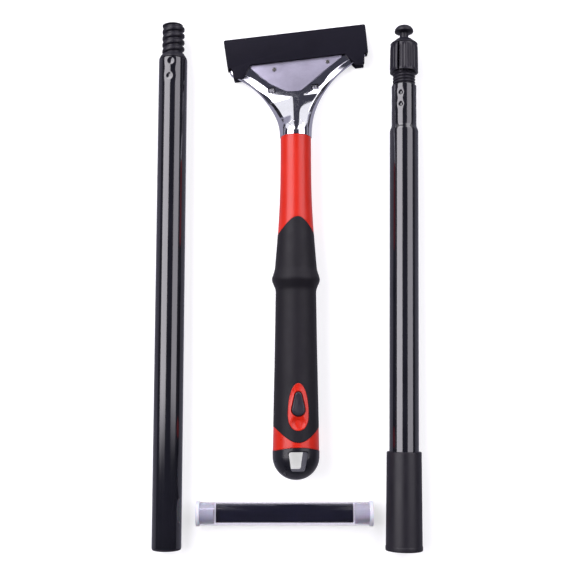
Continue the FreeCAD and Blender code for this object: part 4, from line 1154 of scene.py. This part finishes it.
TUBE_LENGTH, TUBE_R, TUBE_WALL = 125.8, 8.55, 0.7
TUBE_CAP_R, TUBE_CAP_RIM, TUBE_CAP_PLUG = 9.2, 3.0, 11.0


def make_blade_tube():
    path = rounded_path([(TUBE_R - TUBE_WALL, 0, 0.15), (TUBE_R, 0, 0.2), (TUBE_R, TUBE_LENGTH, 0.2),
                         (TUBE_R - TUBE_WALL, TUBE_LENGTH, 0.15)])
    turned_piece(path, 160, "spare_blade_tube", TUBE, "spare_tube", CLEAR, "blade_tube", closed=True)


def make_tube_cap(node, body, at_low_end):
    """Hollow push-in cap with a rounded rim."""
    face, outer = TUBE_LENGTH + 0.1, TUBE_LENGTH + TUBE_CAP_RIM
    plug = TUBE_R - TUBE_WALL - 0.08
    corners = [(plug - 1.2, TUBE_LENGTH - TUBE_CAP_PLUG, 0.3), (plug, TUBE_LENGTH - TUBE_CAP_PLUG, 0.5),
               (plug, face, 0), (TUBE_CAP_R, face, 0.3), (TUBE_CAP_R, outer, 0.7), (0, outer, 0),
               (0, outer - 1.2, 0), (plug - 1.2, outer - 1.2, 0.3)]
    where = TUBE
    if at_low_end:
        where = TUBE @ Matrix.Translation((0, TUBE_LENGTH, 0)) @ Matrix.Rotation(pi, 4, "Z")
    turned_piece(rounded_path(corners), 128, f"{body}_moulding", where, body, FROSTED, node, closed=True)


# --- carried-over CAD nodes

def dress_cad_nodes():
    """Materials and faintly rounded edges for the CAD nodes that are used as they are."""
    finishes = {"scraper_blade": BLADE, "clamp_screws": SCREW, "square_nuts": SCREW,
                "locating_pins": PIN, "catch_ring": CATCH, "spare_blades": BLADE_DARK}
    for name, finish in finishes.items():
        node = frame["nodes"][name]
        node.data.materials.clear()
        node.data.materials.append(finish)
        weld_seams(node)
        bevel(node, 0.12, 40, 2)


def make_button_coil():
    """The button's spring, a welded copy of its CAD node."""
    coil = bpy.data.objects.new("button_coil", frame["nodes"]["button_spring"].data.copy())
    bpy.context.scene.collection.objects.link(coil)
    weld_seams(coil)
    bake_modifiers(coil)
    settle(coil, "button", SPRING, "button_spring")
    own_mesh(coil)


# --- stage, light and camera

def make_stage():
    """A white floor inside a white dome that only the camera sees.

    The floor isn't in mirror reflections, so that the glossy poles have dark edges.
    """
    n = Nodes("studio_floor")
    dust = n.noise(60.0, 4.0)
    tone = n.colours(dust, (0.2, (0.50, 0.50, 0.51)), (0.8, (0.52, 0.52, 0.53)))
    white = n.set(Base_Color=tone, Roughness=0.8, Emission_Color=(1.0, 1.0, 1.0), Emission_Strength=0.62,
                  Normal=n.bump(dust, 0.02))
    reach = 12.0
    floor = bpy.data.objects.new("floor", bpy.data.meshes.new("floor"))
    floor.data.from_pydata([(x, y, -0.0002) for x, y in circle(reach, 64)], [], [tuple(range(64))])
    backdrop = bpy.data.objects.new("backdrop", bpy.data.meshes.new("backdrop"))
    dome = Form().add([[(x, y, reach * sin(rise)) for x, y in circle(reach * cos(rise), 48)]
                       for rise in np.linspace(-0.02, pi / 2, 13)])
    backdrop.data.from_pydata(dome.points, [], dome.faces)
    pale = Nodes("backdrop_white").set(Base_Color=(0.0, 0.0, 0.0), Emission_Color=(1.0, 1.0, 1.0),
                                       Emission_Strength=1.0)
    for stage_piece, finish in ((floor, white), (backdrop, pale)):
        bpy.context.scene.collection.objects.link(stage_piece)
        stage_piece.data.materials.append(finish)
    floor.visible_glossy = False
    for flag in ("visible_diffuse", "visible_glossy", "visible_transmission", "visible_shadow"):
        setattr(backdrop, flag, False)


def area_light(name, width, height, strength, place, turn):
    """A flat light of a given brightness."""
    light = bpy.data.lights.new(name, "AREA")
    light.shape = "RECTANGLE"
    light.size, light.size_y = width, height
    light.energy = strength * pi * width * height
    lamp = bpy.data.objects.new(name, light)
    bpy.context.scene.collection.objects.link(lamp)
    lamp.location = place
    lamp.rotation_euler = turn
    return light


def softbox(name, lean, width, strength, colour):
    """A long light over the table, leaning to one side, that fades towards the items' butts."""
    distance, low_y, high_y, fade = 2.5, -0.62, 4.2, 0.08
    angle = radians(lean)
    place = (distance * sin(angle), (low_y + high_y) / 2, distance * cos(angle))
    light = area_light(name, width, high_y - low_y, strength, place, (0, angle, 0))
    light.color = colour
    light.use_nodes = True
    tree = light.node_tree
    geometry = tree.nodes.new("ShaderNodeNewGeometry")
    split = tree.nodes.new("ShaderNodeSeparateXYZ")
    ramp = tree.nodes.new("ShaderNodeMapRange")
    ramp.interpolation_type = "SMOOTHSTEP"
    ramp.inputs["From Max"].default_value = fade
    tree.links.new(geometry.outputs["Parametric"], split.inputs["Vector"])
    tree.links.new(split.outputs["Y"], ramp.inputs["Value"])
    tree.links.new(ramp.outputs["Result"], tree.nodes["Emission"].inputs["Strength"])


def make_surroundings():
    """Mid lilac grey below the horizon, nearly black above it."""
    world = bpy.data.worlds.new("studio")
    bpy.context.scene.world = world
    world.use_nodes = True
    tree = world.node_tree
    way = tree.nodes.new("ShaderNodeTexCoord")
    split = tree.nodes.new("ShaderNodeSeparateXYZ")
    ramp = tree.nodes.new("ShaderNodeValToRGB")
    stops = ((0.0, (0.36, 0.35, 0.44, 1)), (0.06, (0.055, 0.055, 0.075, 1)))
    for element, (place, colour) in zip(ramp.color_ramp.elements, stops):
        element.position = place
        element.color = colour
    tree.links.new(way.outputs["Generated"], split.inputs["Vector"])
    tree.links.new(split.outputs["Z"], ramp.inputs["Fac"])
    tree.links.new(ramp.outputs["Color"], tree.nodes["Background"].inputs["Color"])


def make_light():
    """Two leaning softboxes over the set and two upright panels beyond its heads."""
    softbox("left_softbox", -41.0, 2.1, 5.6, (0.97, 0.935, 1.0))
    softbox("right_softbox", 44.5, 1.95, 3.3, (0.96, 0.92, 1.0))
    facing = (radians(90), 0, radians(180))
    for name, x in (("left_back_panel", -2.3), ("right_back_panel", 2.3)):
        area_light(name, 3.4, 4.0, 1.0, (x, 3.7, 2.1), facing)
    make_surroundings()
    bpy.context.scene.view_settings.view_transform = "Standard"


def make_camera():
    """Straight above the set, leaning a little towards its heads."""
    camera = bpy.data.cameras.new("camera")
    camera.sensor_width = 36.0
    camera.lens = 58.966
    camera.clip_start, camera.clip_end = 0.01, 60.0
    seat = bpy.data.objects.new("camera", camera)
    bpy.context.scene.collection.objects.link(seat)
    seat.location = (0.00115, -0.08808, 0.730)
    seat.rotation_euler = (radians(6.3), 0, 0)
    bpy.context.scene.camera = seat


# --- the whole

for make in (make_camera, make_stage, make_light, make_threaded_pole_tube, make_threaded_tip,
             make_threaded_pole_end_plug, make_lock_pole_tube, make_lock_plug, make_lock_collar,
             make_connector_sleeve, make_grip_sleeve, make_handle_core, make_button_bezel,
             make_release_button, make_end_cap):
    make()
make_direction_mark(make_head_body())
for make in (make_window_shade_liners, make_clamp_plate, make_blade_guard, make_blade_tube):
    make()
make_tube_cap("tube_cap_left", "left_cap", True)
make_tube_cap("tube_cap_right", "right_cap", False)
dress_cad_nodes()
make_button_coil()


bpy.context.view_layer.update()
